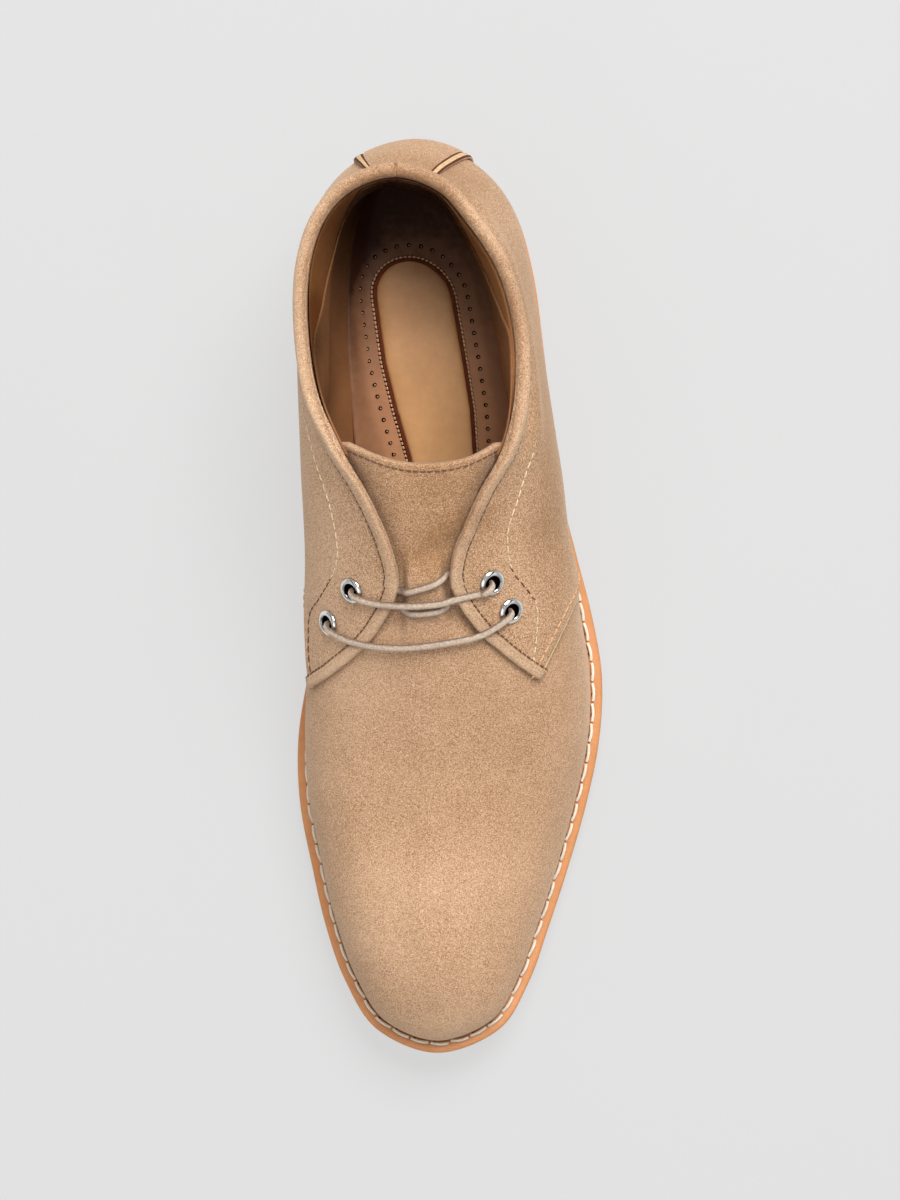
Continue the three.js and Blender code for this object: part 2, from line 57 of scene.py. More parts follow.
MM = 0.001
BODY = "root"
MEDIAL, LATERAL = -1, 1
UP = np.array([0.0, 0.0, 1.0])

# ---------------------------------------------------------------- the boot's driving sizes, in millimetres
LENGTH = 300
MIDDLE = {"station": 150.76, "side": 0.12}  # the place that stands over the origin
GAP = 0.3
HEEL_BLOCK = {"height": 15, "front": 74, "front_rib": 4.15, "taper": 1.2, "inset": 0.6}
BREAST = {"hollow": 4, "width": 90, "middle": -4}  # the curve of the heel block's front face
OUTSOLE = {"thickness": 5.5, "shank_end": 162, "spring_start": 222, "toe_spring": 9}
MIDSOLE = 3.6
INSOLE = {"thickness": 2.4, "wall_room": 2.6}
SUEDE = 1.8
QUARTER = 1.6  # the quarters' outer face, from the last
TONGUE_DIP = 3
LACE = {"width": 2.4, "thickness": 1.5}

# The last, as ribs from the back of the heel (0) to the tip of the toe (16). Each starts on the feather
# line at the sole, climbs to the shoulder line and goes over to the ridge of the foot.
COLUMNS = [
    "station", "medial", "lateral", "inset",
    "top_station", "top_medial", "top_lateral", "top_height",
    "lean_medial", "lean_lateral", "tilt",
    "ridge_station", "ridge", "ridge_height",
]
RIBS = np.array([
    [3, -8.6, -8.6, 3.6, 16.7, -17.2, -17.2, 93, 14, 14, 76, 0, 0, 0],
    [8.5, -26.6, 7.8, 3.6, 21, -31.2, -3.2, 92.5, 14, 14, 78, 0, 0, 0],
    [22, -36, 20.6, 3.6, 31, -40.8, 6.4, 91.5, 15, 13, 82, 0, 0, 0],
    [43, -39.8, 27.3, 3.6, 46.5, -45.8, 16.5, 90.5, 20, 10, 86, 0, 0, 0],
    [68, -40, 30.8, 3.7, 65.6, -46.3, 21.8, 90.5, 24, 10, 86, 0, 0, 0],
    [93, -38, 33.8, 3.8, 86, -43, 22, 94, 28, 11, 76, 90, -8, 107],
    [116, -36.8, 37, 4.0, 102.5, -35.4, 18, 95.5, 31, 10, 58, 104, -8, 103],
    [136, -38.2, 42, 4.2, 119, -24.8, 8.3, 92.5, 33, 6, 36, 120, -8, 96.3],
    [156, -42.6, 47.2, 4.4, 140.8, -16.4, 0, 84, 32, 4, 19, 141, -8, 85.5],
    [176, -47, 50.5, 4.5, 163, -17, 3, 71.5, 25, 4, 15, 163, -7.6, 73.5],
    [197, -50.2, 49.6, 4.5, 185, -19, 6.5, 60.3, 17, 8, 13, 185, -7, 62.5],
    [218, -49.6, 45.4, 4.5, 207, -21.5, 8, 51, 14, 9, 11, 207, -7, 53.2],
    [239, -45.6, 39.4, 4.5, 228, -22, 8.5, 45.6, 12, 12, 10, 228, -6.8, 47.8],
    [259, -40.9, 32.8, 4.5, 246, -20.8, 8.4, 43.2, 10, 10, 12, 244, -6.4, 45.6],
    [277, -34.3, 26.2, 4.5, 262, -17.8, 7.5, 41.2, 10, 10, 17, 258, -6, 44.2],
    [292.5, -23.8, 16.2, 4.5, 275, -12, 4, 39, 9, 9, 26, 0, 0, 0],
    [300, -4, -4, 4.6, 280.5, -4, -4, 38, 8, 8, 31, 0, 0, 0],
])
SIDED = {
    "edge": ("medial", "lateral"),
    "top": ("top_medial", "top_lateral"),
    "lean": ("lean_medial", "lean_lateral"),
}
TOE = len(RIBS) - 1
POLE, POLE_SLOPE = 13, -0.15  # past this rib the ridge ends in one point, where the surface slopes a little
HANDLE = 0.38  # length of the curves' handles, as a share of their span

# Panels as places on the last: rib number, and height on the rib (0 feather line, 1 shoulder line, 2 ridge).
# A quarter's top edge follows the shoulder line as far as the throat, then turns down round its tab.
THROAT, THROAT_SHARE = 8.25, 0.84  # the throat's rib, and its share of the way along the top edge
SEAM_FOOT = 7  # the rib where the seam between quarter and vamp meets the sole
TAB_FRONT = {
    MEDIAL: [[8.25, 1], [8.65, 0.965], [9.05, 0.89], [9.3, 0.79], [9.47, 0.64], [9.5, 0.46]],
    LATERAL: [[8.25, 1], [8.65, 0.965], [8.95, 0.91], [9.15, 0.84], [9.32, 0.75], [9.42, 0.66]],
}
SEAM = {
    MEDIAL: [[SEAM_FOOT, 0], [7.5, 0.2], [8.1, 0.32], [8.7, 0.39], [9.1, 0.42], [9.5, 0.46]],
    LATERAL: [[SEAM_FOOT, 0], [7.5, 0.2], [8.1, 0.37], [8.6, 0.49], [9.05, 0.59], [9.42, 0.66]],
}
# Rows of the vamp and tongue, from the tongue's top edge to the toe: the rib on the ridge, then the
# rib and height of each side's edge, which stays under the quarters until it meets the sole.
VAMP_ROWS = [
    # ridge, medial rib and height, lateral rib and height
    [6.38, 5.96, 0.84, 5.96, 0.84],
    [7.1, 6.8, 0.78, 6.8, 0.82],
    [7.8, 7.6, 0.7, 7.6, 0.78],
    [8.5, 8.4, 0.6, 8.4, 0.75],
    [9.2, 8.9, 0.44, 8.9, 0.66],
    [9.9, 8.4, 0.28, 8.3, 0.48],
    [10.6, 7.4, 0.12, 7.3, 0.2],
    [11.3, 6.6, 0, 6.6, 0],
    [12.1, 8.4, 0, 8.4, 0],
    [12.9, 10.3, 0, 10.3, 0],
    [13.7, 12.1, 0, 12.1, 0],
    [14.5, 13.8, 0, 13.8, 0],
    [15.3, 15.1, 0, 15.1, 0],
    [16, 16, 0, 16, 0],
]
EYELETS = {
    "eyelet_medial_upper": (MEDIAL, 8.34, 0.8),
    "eyelet_medial_lower": (MEDIAL, 8.72, 0.65),
    "eyelet_lateral_upper": (LATERAL, 8.23, 0.85),
    "eyelet_lateral_lower": (LATERAL, 8.59, 0.78),
}


# ---------------------------------------------------------------- curves and the last's surface
def mix(a, b, t):
    return a + (b - a) * t


def ease(x, low, high):
    t = np.clip((np.asarray(x, float) - low) / (high - low), 0, 1)
    return t * t * (3 - 2 * t)


def unit(v):
    return v / np.linalg.norm(v, axis=-1, keepdims=True)


def through(before, a, b, after, t):
    """Catmull-Rom through four values, for t from 0 to 1 between the middle two."""
    slope_a, slope_b = (b - before) / 2, (after - a) / 2
    c = 3 * (b - a) - 2 * slope_a - slope_b
    d = 2 * (a - b) + slope_a + slope_b
    return a + t * (slope_a + t * (c + t * d))


def column(name, rib, side):
    """A column of the ribs' table at any rib. Past either end it goes on round the other side."""
    values = []
    names = SIDED.get(name, (name, name))
    for own, other in (names, names[::-1]):
        mine, theirs = RIBS[:, COLUMNS.index(own)], RIBS[:, COLUMNS.index(other)]
        ghosted = np.concatenate([theirs[1:2], mine, theirs[-2:-3:-1]])
        i = np.clip(np.floor(rib).astype(int), 0, TOE - 1)
        values.append(through(ghosted[i], ghosted[i + 1], ghosted[i + 2], ghosted[i + 3], rib - i))
    return np.where(side < 0, values[0], values[1])


def sole_bottom(station):
    """The underside of the outsole: level over the heel, an S-curve through the shank, the toe spring."""
    heel = HEEL_BLOCK["height"] + GAP
    shank = heel * (1 - ease(station, HEEL_BLOCK["front"] - 6, OUTSOLE["shank_end"]))
    toeward = np.maximum(0, station - OUTSOLE["spring_start"]) / (LENGTH - OUTSOLE["spring_start"])
    return shank + OUTSOLE["toe_spring"] * toeward**2


def outsole_top(station):
    return sole_bottom(station) + OUTSOLE["thickness"]


def midsole_bottom(station):
    return outsole_top(station) + GAP


def midsole_top(station):
    return midsole_bottom(station) + MIDSOLE


def insole_top(station):
    return midsole_top(station) + GAP + INSOLE["thickness"]


def place(x, station, z):
    x, station, z = np.broadcast_arrays(x, station, z)
    return np.stack([x - MIDDLE["side"], MIDDLE["station"] - station, z], -1)


def fold(rib, side):
    """A rib past the heel or the toe, as the same place on the other side."""
    past = (rib < 0) | (rib > TOE)
    return np.where(rib > TOE, 2 * TOE - rib, np.abs(rib)), np.where(past, -side, side)


def sole_edge(rib, side):
    rib, side = fold(rib, side)
    return place(column("edge", rib, side), column("station", rib, side), 0)


def inward(rib, side):
    step = 0.02
    along = unit(sole_edge(rib + step, side) - sole_edge(rib - step, side))
    return np.stack([side * along[..., 1], -side * along[..., 0], 0 * along[..., 0]], -1)


def feather(rib, side, extra=0.0):
    """Where the last meets the midsole, or that line drawn further in."""
    edge = sole_edge(rib, side) + inward(rib, side) * (column("inset", rib, side) + extra)[..., None]
    edge[..., 2] = midsole_top(column("station", rib, side)) + GAP
    return edge


def bezier(a, b, c, d, t):
    t = t[..., None]
    s = 1 - t
    return a * s**3 + 3 * b * s * s * t + 3 * c * s * t * t + d * t**3


def last(rib, height, side):
    """The surface of the last. It goes on to the other side past the heel, the toe and the ridge."""
    rib, height, side = (np.array(a, float) for a in np.broadcast_arrays(rib, height, side))
    rib, side = fold(rib, side)
    side = np.where(height > 2, -side, side)
    height = np.where(height > 2, 4 - height, height)
    into = inward(rib, side)
    tilt, lean = (np.radians(column(name, rib, side))[..., None] for name in ("tilt", "lean"))
    foot = feather(rib, side)
    top = place(column("top", rib, side), column("top_station", rib, side), column("top_height", rib, side))
    i = np.minimum(rib, POLE)
    end = place(column("ridge", i, side), column("ridge_station", i, side), column("ridge_height", i, side))
    climb = into * np.cos(tilt) + UP * np.sin(tilt)
    leave = UP * np.cos(lean) - into * np.sin(lean)
    turn = np.maximum(0, rib - POLE) / (TOE - POLE) * math.pi / 2
    over = np.stack([side * np.cos(turn), -np.sin(turn), POLE_SLOPE * np.sin(turn)], -1)
    low = HANDLE * np.linalg.norm(foot - top, axis=-1, keepdims=True)
    high = HANDLE * np.linalg.norm(end - top, axis=-1, keepdims=True)
    wall = bezier(foot, foot + leave * low, top - climb * low, top, height)
    cover = bezier(top, top + climb * high, end + over * high, end, height - 1)
    return np.where((height <= 1)[..., None], wall, cover)


def normal(rib, height, side):
    """The last's outward normal, level along the feather line."""
    step = 0.01
    rib, height, side = (np.array(a, float) for a in np.broadcast_arrays(rib, height, side))
    h = np.where(rib > POLE - 0.5, np.minimum(height, 2 - 3 * step), height)
    upward = last(rib, h + step, side) - last(rib, np.maximum(0, h - step), side)
    forward = last(rib + step, h, side) - last(rib - step, h, side)
    n = np.cross(upward, forward) * side[..., None]
    n[..., 2] = np.where(height == 0, 0, n[..., 2])
    return unit(n)


# Soft forms of the worn suede: hollows and swells over the last, each with its centre in plan,
# its half lengths across and along the boot, its turn in degrees, and its depth (hollows are negative).
SOFT_FORMS = [
    # x, y, across, along, turn, depth
    [14, -52, 17, 26, 8, -0.9],
    [-26, -50, 12, 26, -8, -0.5],
    [31, -62, 4.5, 26, -6, 0.45],
    [-4, -96, 34, 11, 0, 0.35],
    [-4, -74, 30, 9, 0, -0.25],
    [31, 20, 7, 11, -14, -0.9],
    [38, 2, 7, 14, -20, 0.5],
    [-4, 14, 9, 2.2, 24, -0.5],
    [4, 21, 8, 2.0, -28, 0.35],
    [-36, -8, 6, 20, 6, -0.4],
]

# Where the suede's nap lies paler or darker, and the painted highlights and painted shade on it, in the same
# way; the last number is added to its tone.
NAP_TONES_AND_PAINTED_LIGHT = [
    [-10, -94, 26, 9, 0, 0.15],
    [0, -143, 26, 9, 0, 0.4],
    [-24, -112, 14, 14, 0, 0.2],
    [22, 101, 7, 20, 0, -0.4],
    [10, -58, 22, 24, 8, -0.12],
    [36, 60, 9, 50, 0, -0.6],
    [31, 70, 4, 22, 4, -0.4],
    [-44, 60, 7, 60, 0, 0.15],
    [-36, 8, 10, 40, 4, 0.25],
    [-12, 132, 26, 10, 0, -0.6],
    [31, 21, 5, 9, -14, -0.2],
    [-6, 36, 20, 22, 0, -0.32],
    [-7, 13, 11, 6, 0, -0.3],
    [5, 24, 11, 4, 20, -0.35],
    [-36, -20, 10, 14, 10, 0.1],
]


def patches(point, table):
    """The sum of a table's soft patches at a point."""
    total = np.zeros(point.shape[:-1])
    for x, y, across, along, turn, strength in table:
        angle = math.radians(turn)
        dx, dy = point[..., 0] - x, point[..., 1] - y
        a = (dx * math.cos(angle) + dy * math.sin(angle)) / across
        b = (dy * math.cos(angle) - dx * math.sin(angle)) / along
        total += strength * np.exp(-(a * a + b * b))
    return total


def skin(rib, height, side, offset=0.0):
    """A point at a distance off the last, with the suede's soft forms."""
    point = last(rib, height, side)
    return point + normal(rib, height, side) * (np.asarray(offset) + patches(point, SOFT_FORMS))[..., None]


def seated(rib, height, side, offset=0.0):
    """Points off the last, each followed by the direction that the surface looks."""
    return np.concatenate([skin(rib, height, side, offset), normal(rib, height, side)], -1)


def route(places, t):
    """A smooth line through rows of numbers, for t from 0 to 1."""
    rows = np.asarray(places, float)
    rows = np.vstack([2 * rows[0] - rows[1], rows, 2 * rows[-1] - rows[-2]])
    x = np.asarray(t, float) * (len(places) - 1)
    i = np.clip(np.floor(x).astype(int), 0, len(places) - 2)
    return through(rows[i], rows[i + 1], rows[i + 2], rows[i + 3], (x - i)[..., None])


def quarter_place(u, v, side):
    """A place on the quarter, from the back of the heel forwards (u) and from the sole up (v)."""
    u, v = (np.asarray(a, float) for a in np.broadcast_arrays(u, v))
    down = np.maximum(0, u - THROAT_SHARE) / (1 - THROAT_SHARE)
    along = np.stack([u / THROAT_SHARE * THROAT, np.ones_like(u)], -1)
    top = np.where((down > 0)[..., None], route(TAB_FRONT[side], down), along)
    u, v = u[..., None], v[..., None]
    return v * top + u * route(SEAM[side], v[..., 0]) - u * v * route(SEAM[side], 1.0)


def on_quarter(u, v, side, offset=0.0):
    where = quarter_place(u, v, side)
    return skin(where[..., 0], where[..., 1], side, offset)


def from_edge(u, distance, side):
    """The (u, v) that lies a distance in from the quarter's top edge, measured square to it."""
    step = 1e-3
    u = np.asarray(u, float)

    def at(a, b):
        where = quarter_place(a, b, side)
        return last(where[..., 0], where[..., 1], side)

    across = (at(u, 1.0) - at(u, 1 - step)) / step
    forward = (at(u + step, 1.0) - at(u - step, 1.0)) / (2 * step)
    along = unit(forward)
    slide = np.sum(across * along, -1)
    down = distance / np.linalg.norm(across - along * slide[..., None], axis=-1)
    return u + down * slide / np.linalg.norm(forward, axis=-1), 1 - down


# ---------------------------------------------------------------- meshes
DOUBLED = 0.004  # points nearer than this are one point
MATERIALS = {}


def new_object(mesh, *materials):
    """An object with its mesh's name."""
    for material in materials:
        mesh.materials.append(material)
    made = bpy.data.objects.new(mesh.name, mesh)
    bpy.context.scene.collection.objects.link(made)
    return made


def finish_piece(piece, slot, *replaced):
    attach(piece, BODY)
    if replaced:
        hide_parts(*replaced)
    return piece


def add_piece(mesh, finishes, slot, *replaced):
    """A piece of the boot, with its finishes by name and the nodes that it takes the place of."""
    return finish_piece(new_object(mesh, *(MATERIALS[finish] for finish in finishes)), slot, *replaced)


def grid_faces(rows, columns, start=0, flip=False, closed=False):
    """Quads between neighbouring points of a grid; closed joins the last column to the first."""
    i, j = np.meshgrid(np.arange(rows - 1), np.arange(columns - (0 if closed else 1)), indexing="ij")
    k = (j + 1) % columns
    quads = np.stack([i * columns + j, (i + 1) * columns + j, (i + 1) * columns + k, i * columns + k], -1)
    quads = quads.reshape(-1, 4) + start
    return quads[:, ::-1] if flip else quads


def mesh_of(name, points, faces, parts=None, tone=None):
    """A mesh from points in millimetres, with doubled points merged and its normals turned outwards."""
    mesh = bpy.data.meshes.new(name)
    mesh.from_pydata((np.asarray(points) * MM).tolist(), [], [list(map(int, f)) for f in faces])
    if parts is not None:
        mesh.polygons.foreach_set("material_index", np.asarray(parts, np.int32))
    if tone is not None:
        mesh.attributes.new("tone", "FLOAT", "POINT").data.foreach_set("value", np.asarray(tone, np.float32))
    bm = bmesh.new()
    bm.from_mesh(mesh)
    bmesh.ops.remove_doubles(bm, verts=bm.verts, dist=DOUBLED * MM)
    bmesh.ops.dissolve_degenerate(bm, edges=bm.edges, dist=DOUBLED / 2 * MM)
    bmesh.ops.recalc_face_normals(bm, faces=bm.faces)
    for face in bm.faces:
        face.smooth = True
    bm.to_mesh(mesh)
    bm.free()
    return mesh


def wall_mesh(name, outer, inner, tone=None, closed_end=False, strips=None):
    """A wall between two grids of points: outer faces take the first material, or each row of them the
    one that strips gives; inner faces take the second."""
    rows, columns = outer.shape[:2]
    count = rows * columns
    front = grid_faces(rows, columns)
    back = grid_faces(rows, columns, count, flip=True)
    ring = [(0, j) for j in range(columns)] + [(i, columns - 1) for i in range(1, rows)]
    if not closed_end:
        ring += [(rows - 1, j) for j in range(columns - 2, -1, -1)]
        ring += [(i, 0) for i in range(rows - 2, -1, -1)]
    rims = [ring] if not closed_end else [ring, [(i, 0) for i in range(rows - 1, -1, -1)]]
    edge = []
    for line in rims:
        flat = [i * columns + j for i, j in line]
        edge += [[a, b, b + count, a + count] for a, b in zip(flat, flat[1:])]
    points = np.concatenate([outer.reshape(-1, 3), inner.reshape(-1, 3)])
    outer_parts = np.zeros(len(front), int) if strips is None else np.repeat(strips, columns - 1)
    parts = [*outer_parts, *[1] * len(back), *[0] * len(edge)]
    tones = None if tone is None else np.concatenate([tone.ravel(), tone.ravel()])
    return mesh_of(name, points, [*front, *back, *edge], parts, tones)


def tube_mesh(name, sections, parts=None, tone=None):
    """A closed tube through equal rings of points, with its two ends capped."""
    rows, columns = sections.shape[:2]
    faces = [list(f) for f in grid_faces(rows, columns, closed=True)]
    caps = [list(range(columns)), list(range((rows - 1) * columns, rows * columns))]
    return mesh_of(name, sections.reshape(-1, 3), faces + caps, parts, tone)


def cord_sections(points, faces, outline):
    """Rings of an outline (across, up) along points, with the direction that each one's up side looks."""
    along = unit(np.gradient(points, axis=0))
    across = unit(np.cross(faces, along))
    up = np.cross(along, across)
    return points[:, None] + across[:, None] * outline[None, :, :1] + up[:, None] * outline[None, :, 1:]


def resampled(line, spacing, extra=1):
    """The same line with evenly spaced points: as many as it has spacings, and extra more."""
    run = np.concatenate([[0], np.cumsum(np.linalg.norm(np.diff(line[:, :3], axis=0), axis=1))])
    even = np.linspace(0, run[-1], max(2, round(run[-1] / spacing) + extra))
    return np.stack([np.interp(even, run, line[:, k]) for k in range(line.shape[1])], -1)


SPACING = 0.8  # between the points of a sewn line


def split_line(line):
    """Seated points evenly spaced, as (points, the way the surface looks at each)."""
    line = resampled(line, SPACING)
    return line[:, :3], unit(line[:, 3:])


def smooth_line(points, spacing):
    """A centripetal Catmull-Rom curve through given points, evenly spaced."""
    knots = np.concatenate([[0], np.cumsum(np.linalg.norm(np.diff(points[:, :3], axis=0), axis=1) ** 0.5)])
    ends = np.vstack([2 * points[0] - points[1], points, 2 * points[-1] - points[-2]])
    marks = np.concatenate([[knots[0] - (knots[1] - knots[0])], knots, [2 * knots[-1] - knots[-2]]])
    fine = np.linspace(0, knots[-1], 60 * len(points))
    i = np.clip(np.searchsorted(marks, fine, side="right") - 1, 1, len(points) - 1)

    def lerp(p, q, a, b):
        w = ((fine - a) / (b - a))[:, None]
        return p * (1 - w) + q * w

    t = [marks[i + k] for k in (-1, 0, 1, 2)]
    p = [ends[i + k] for k in (-1, 0, 1, 2)]
    a = [lerp(p[k], p[k + 1], t[k], t[k + 1]) for k in range(3)]
    b = [lerp(a[k], a[k + 1], t[k], t[k + 2]) for k in range(2)]
    return resampled(lerp(b[0], b[1], t[1], t[2]), spacing)


# ---------------------------------------------------------------- materials
def linear(hex_colour):
    """An sRGB hex colour as linear RGBA."""
    values = [int(hex_colour[i : i + 2], 16) / 255 for i in (1, 3, 5)]
    return [v / 12.92 if v <= 0.04045 else ((v + 0.055) / 1.055) ** 2.4 for v in values] + [1.0]


def add_node(tree, kind, inputs=None, output=0, **settings):
    """Adds a node, sets its properties, gives its inputs values or links, and returns one of its outputs."""
    node = tree.nodes.new(kind)
    for name, value in settings.items():
        setattr(node, name, value)
    for socket, value in (inputs or {}).items():
        if isinstance(value, bpy.types.NodeSocket):
            tree.links.new(value, node.inputs[socket])
        else:
            node.inputs[socket].default_value = value
    return node.outputs if output is None else node.outputs[output]


def times(tree, a, b, plus=0.0, **settings):
    """Two values multiplied, and a third added."""
    return add_node(tree, "ShaderNodeMath", {0: a, 1: b, 2: plus}, operation="MULTIPLY_ADD", **settings)


def new_material(name, **constants):
    """A material with a Principled shader whose plain sockets are set from constants."""
    material = bpy.data.materials.new(name)
    material.use_nodes = True
    shader = material.node_tree.nodes["Principled BSDF"]
    for socket, value in constants.items():
        shader.inputs[socket.replace("_", " ")].default_value = value
    return material, material.node_tree, shader


def noise(tree, where, size, detail, **inputs):
    """Noise with its size in millimetres."""
    inputs.update(Vector=where, Scale=1 / (size * MM), Detail=detail)
    return add_node(tree, "ShaderNodeTexNoise", inputs)


def blend(tree, factor, dark, light):
    """A mix of two colours."""
    # The node has sockets of the same name for every kind of value: 6 and 7 are its two colours.
    inputs = {0: factor, 6: dark, 7: light}
    return add_node(tree, "ShaderNodeMix", inputs, 2, data_type="RGBA")


GRAIN_ROUGHNESS = 0.62  # how strong the finer octaves of a mottling are


def mottled(tree, where, layers, tone=0.0):
    """A factor around a half: noise layers of (size in mm, share, detail), plus the mesh's own tone."""
    own = add_node(tree, "ShaderNodeAttribute", output="Fac", attribute_name="tone")
    total = times(tree, own, tone, 0.5 - sum(share for _, share, _ in layers) / 2)
    for size, share, detail in layers:
        total = times(tree, noise(tree, where, size, detail, Roughness=GRAIN_ROUGHNESS), share, total)
    return total


def grained(name, dark, light, layers, bump, tone=0.0, tint=None, **constants):
    """A material mottled between two colours, with bump layers of (size in mm, height in mm), and a tint
    in patches, as (colour, size in mm, share). The tone is how much the mesh's own tone counts."""
    material, tree, shader = new_material(name, **constants)
    where = add_node(tree, "ShaderNodeTexCoord", output="Object")
    mixed = blend(tree, mottled(tree, where, layers, tone), linear(dark), linear(light))
    if tint:
        patch_colour, size, share = tint
        # The steep slope leaves most of the leather untinted and gives the patches soft edges.
        cloud = times(tree, noise(tree, where, size, 3.0), 3 * share, -1.1 * share, use_clamp=True)
        mixed = blend(tree, cloud, mixed, linear(patch_colour))
    tree.links.new(mixed, shader.inputs["Base Color"])
    facing = None
    for size, height in bump:
        inputs = {"Height": noise(tree, where, size, 2.0), "Strength": 1.0, "Distance": height * MM}
        if facing:
            inputs["Normal"] = facing
        facing = add_node(tree, "ShaderNodeBump", inputs)
    if facing:
        tree.links.new(facing, shader.inputs["Normal"])
    return material


def make_materials(looks):
    """Every finish on the boot, by name."""
    made = {}
    patchy = [(34, 0.35, 2.0), (9, 0.2, 2.0)]
    tint = ("#b89a6e", 1.3, 0.35)
    sheen = {"Sheen_Weight": 0.35, "Sheen_Roughness": 0.45, "Sheen_Tint": linear("#f2dcc4")}
    suede = {"Roughness": 0.95, "Specular_IOR_Level": 0.25, **sheen}
    # Calf buffed on its flesh side: no shine, a fine speckled nap that is brushed into soft patches,
    # and short fibres that catch light along the edges.
    made["suede"] = grained(
        "calf suede, buffed", looks.suede_dark, looks.suede_light,
        [*patchy, (0.8, 0.7, 2.0), (0.4, 2.1, 1.0)], [(1.6, 0.12), (0.6, 0.16)], 1.0, tint, **suede,
    )
    # The quarters are cut from looser leather, so their nap stands up in a stronger speckle.
    made["loose suede"] = grained(
        "calf suede, looser nap", looks.suede_dark, looks.suede_light,
        [*patchy, (0.9, 0.7, 2.0), (0.45, 2.6, 1.0)], [(1.6, 0.12), (0.6, 0.2)], 1.0, tint, **suede,
    )
    # The same suede skived to a narrow strip, with its nap pressed flat and paler.
    made["band"] = grained(
        "calf suede, skived strip", looks.band_dark, looks.band_light,
        [patchy[1], (0.8, 0.6, 2.0), (0.4, 1.2, 1.0)], [(1.6, 0.1), (0.6, 0.1)], 1.0,
        ("#c9a479", 1.1, 0.3), **suede,
    )
    # The cut face of the suede, where the raw fibres show cream.
    made["raw edge"] = grained(
        "suede, raw cut edge", "#b08a60", "#e6c99c", [(1.2, 0.8, 1.0)], [(0.8, 0.1)], Roughness=0.9,
    )
    # Vegetable-tanned leather, its edge burnished and waxed: a warm orange with a low gloss.
    made["welt"] = grained(
        "vegetable-tanned leather, waxed", "#b8743f", "#e09e66",
        [(14, 0.5, 2.0), (2.2, 0.5, 3.0), (0.5, 0.25, 1.0)], [(0.9, 0.06)], 1.0,
        Roughness=0.5, Coat_Weight=0.08, Coat_Roughness=0.35,
    )
    # Moulded natural rubber: matt, slightly dusty.
    made["rubber"] = grained(
        "natural rubber, moulded", "#a9683a", "#c98850",
        [(18, 0.4, 2.0), (1.5, 0.4, 2.0)], [(0.7, 0.05)], 1.0, Roughness=0.7,
    )
    # The leathers inside: broad patches and a fine pebble grain with a soft low gloss. Their dark colours are
    # deep, as the mesh's tone takes them there where shade is painted.
    for finish, name, dark, light, layers, bump, roughness, specular in (
        ("insole", "goat leather, insole", "#3a1b0c", "#cf946b",
         [(26, 0.3, 2.0), (3, 0.2, 3.0)], (0.9, 0.05), 0.55, 0.2),
        ("pad", "calf leather, padded", "#85532e", "#f3ba80",
         [(22, 0.3, 2.0), (3, 0.2, 3.0)], (0.7, 0.04), 0.5, 0.3),
        ("lining", "goat leather, lining", "#633817", "#b98250",
         [(20, 0.3, 2.0), (2, 0.2, 2.0)], (0.9, 0.05), 0.6, 0.2),
        ("heel lining", "goat leather, heel lining", "#1f0d05", "#a5714a",
         [(16, 0.3, 2.0), (1, 0.3, 2.0)], (0.6, 0.1), 0.95, 0.05),
    ):
        gloss = {"Roughness": roughness, "Specular_IOR_Level": specular}
        made[finish] = grained(name, dark, light, layers, [bump], 1.0, **gloss)
    # The finishes with one layer. Linen thread is waxed and twisted from strands, a punched hole is a
    # near-black disc of painted shade, and the board under the insole's cover shows pale at the bottom of a
    # perforation.
    for finish, name, dark, light, layer, bump, roughness, specular in (
        # The dark ring round the heel pad is partly its dyed edge and partly painted shade; the dark lines
        # beside the heel stay's raw edges are painted shade.
        ("piping", "calf leather, dyed edge and painted shade", "#3c180b", "#7c3d20",
         (3, 0.6, 2.0), [(0.6, 0.04)], 0.8, 0.15),
        ("cream thread", "waxed linen thread, cream", "#c0a47a", "#f6e8cc",
         (0.5, 0.8, 1.0), [(0.35, 0.05)], 0.6, 0.5),
        ("rim thread", "waxed linen thread, heavy", "#dcc9a6", "#fffaf0",
         (0.7, 0.8, 1.0), [(0.45, 0.08)], 0.6, 0.5),
        ("tan thread", "waxed linen thread, tan", "#b98259", "#f0c9a2",
         (0.5, 0.8, 1.0), [(0.35, 0.05)], 0.8, 0.1),
        ("brown thread", "polyester thread, brown", "#45291a", "#7c5638",
         (0.5, 0.8, 1.0), [(0.35, 0.04)], 0.6, 0.5),
        ("hole", "punched hole, painted shade", "#060200", "#120803",
         (1, 0.4, 1.0), [], 1.0, 0.0),
        ("board", "cellulose board, cut", "#8a5f40", "#d9ac82",
         (1, 0.6, 1.0), [], 1.0, 0.0),
    ):
        gloss = {"Roughness": roughness, "Specular_IOR_Level": specular}
        made[finish] = grained(name, dark, light, [layer], bump, **gloss)
    # Waxed cotton cord: a tight round braid, greyish beige with a soft shine.
    made["cotton"] = grained(
        "waxed cotton cord, braided", "#6f5b4b", "#d3bca6",
        [(4, 0.3, 2.0), (0.6, 1.2, 1.0)], [(0.5, 0.1)], 1.0, Roughness=0.5, Sheen_Weight=0.2,
    )
    # Brass plated with bright nickel: a mirror with very fine wear.
    # Each eyelet's painted reflection takes its colour from near black to white.
    made["nickel"] = grained(
        "nickel plate, polished", "#35322e", "#fbfaf7", [(1.5, 0.4, 2.0)], [(2.0, 0.01)], 1.0,
        Metallic=1.0, Roughness=0.1,
    )
    return made


# ---------------------------------------------------------------- stitches and holes by Geometry Nodes
LOOSE = (0.06, 0.06, 0.09)  # how far a stitch may turn out of line about each axis, in radians


def socket_ids(tree):
    return {item.name: item.identifier for item in tree.interface.items_tree if item.item_type == "SOCKET"}


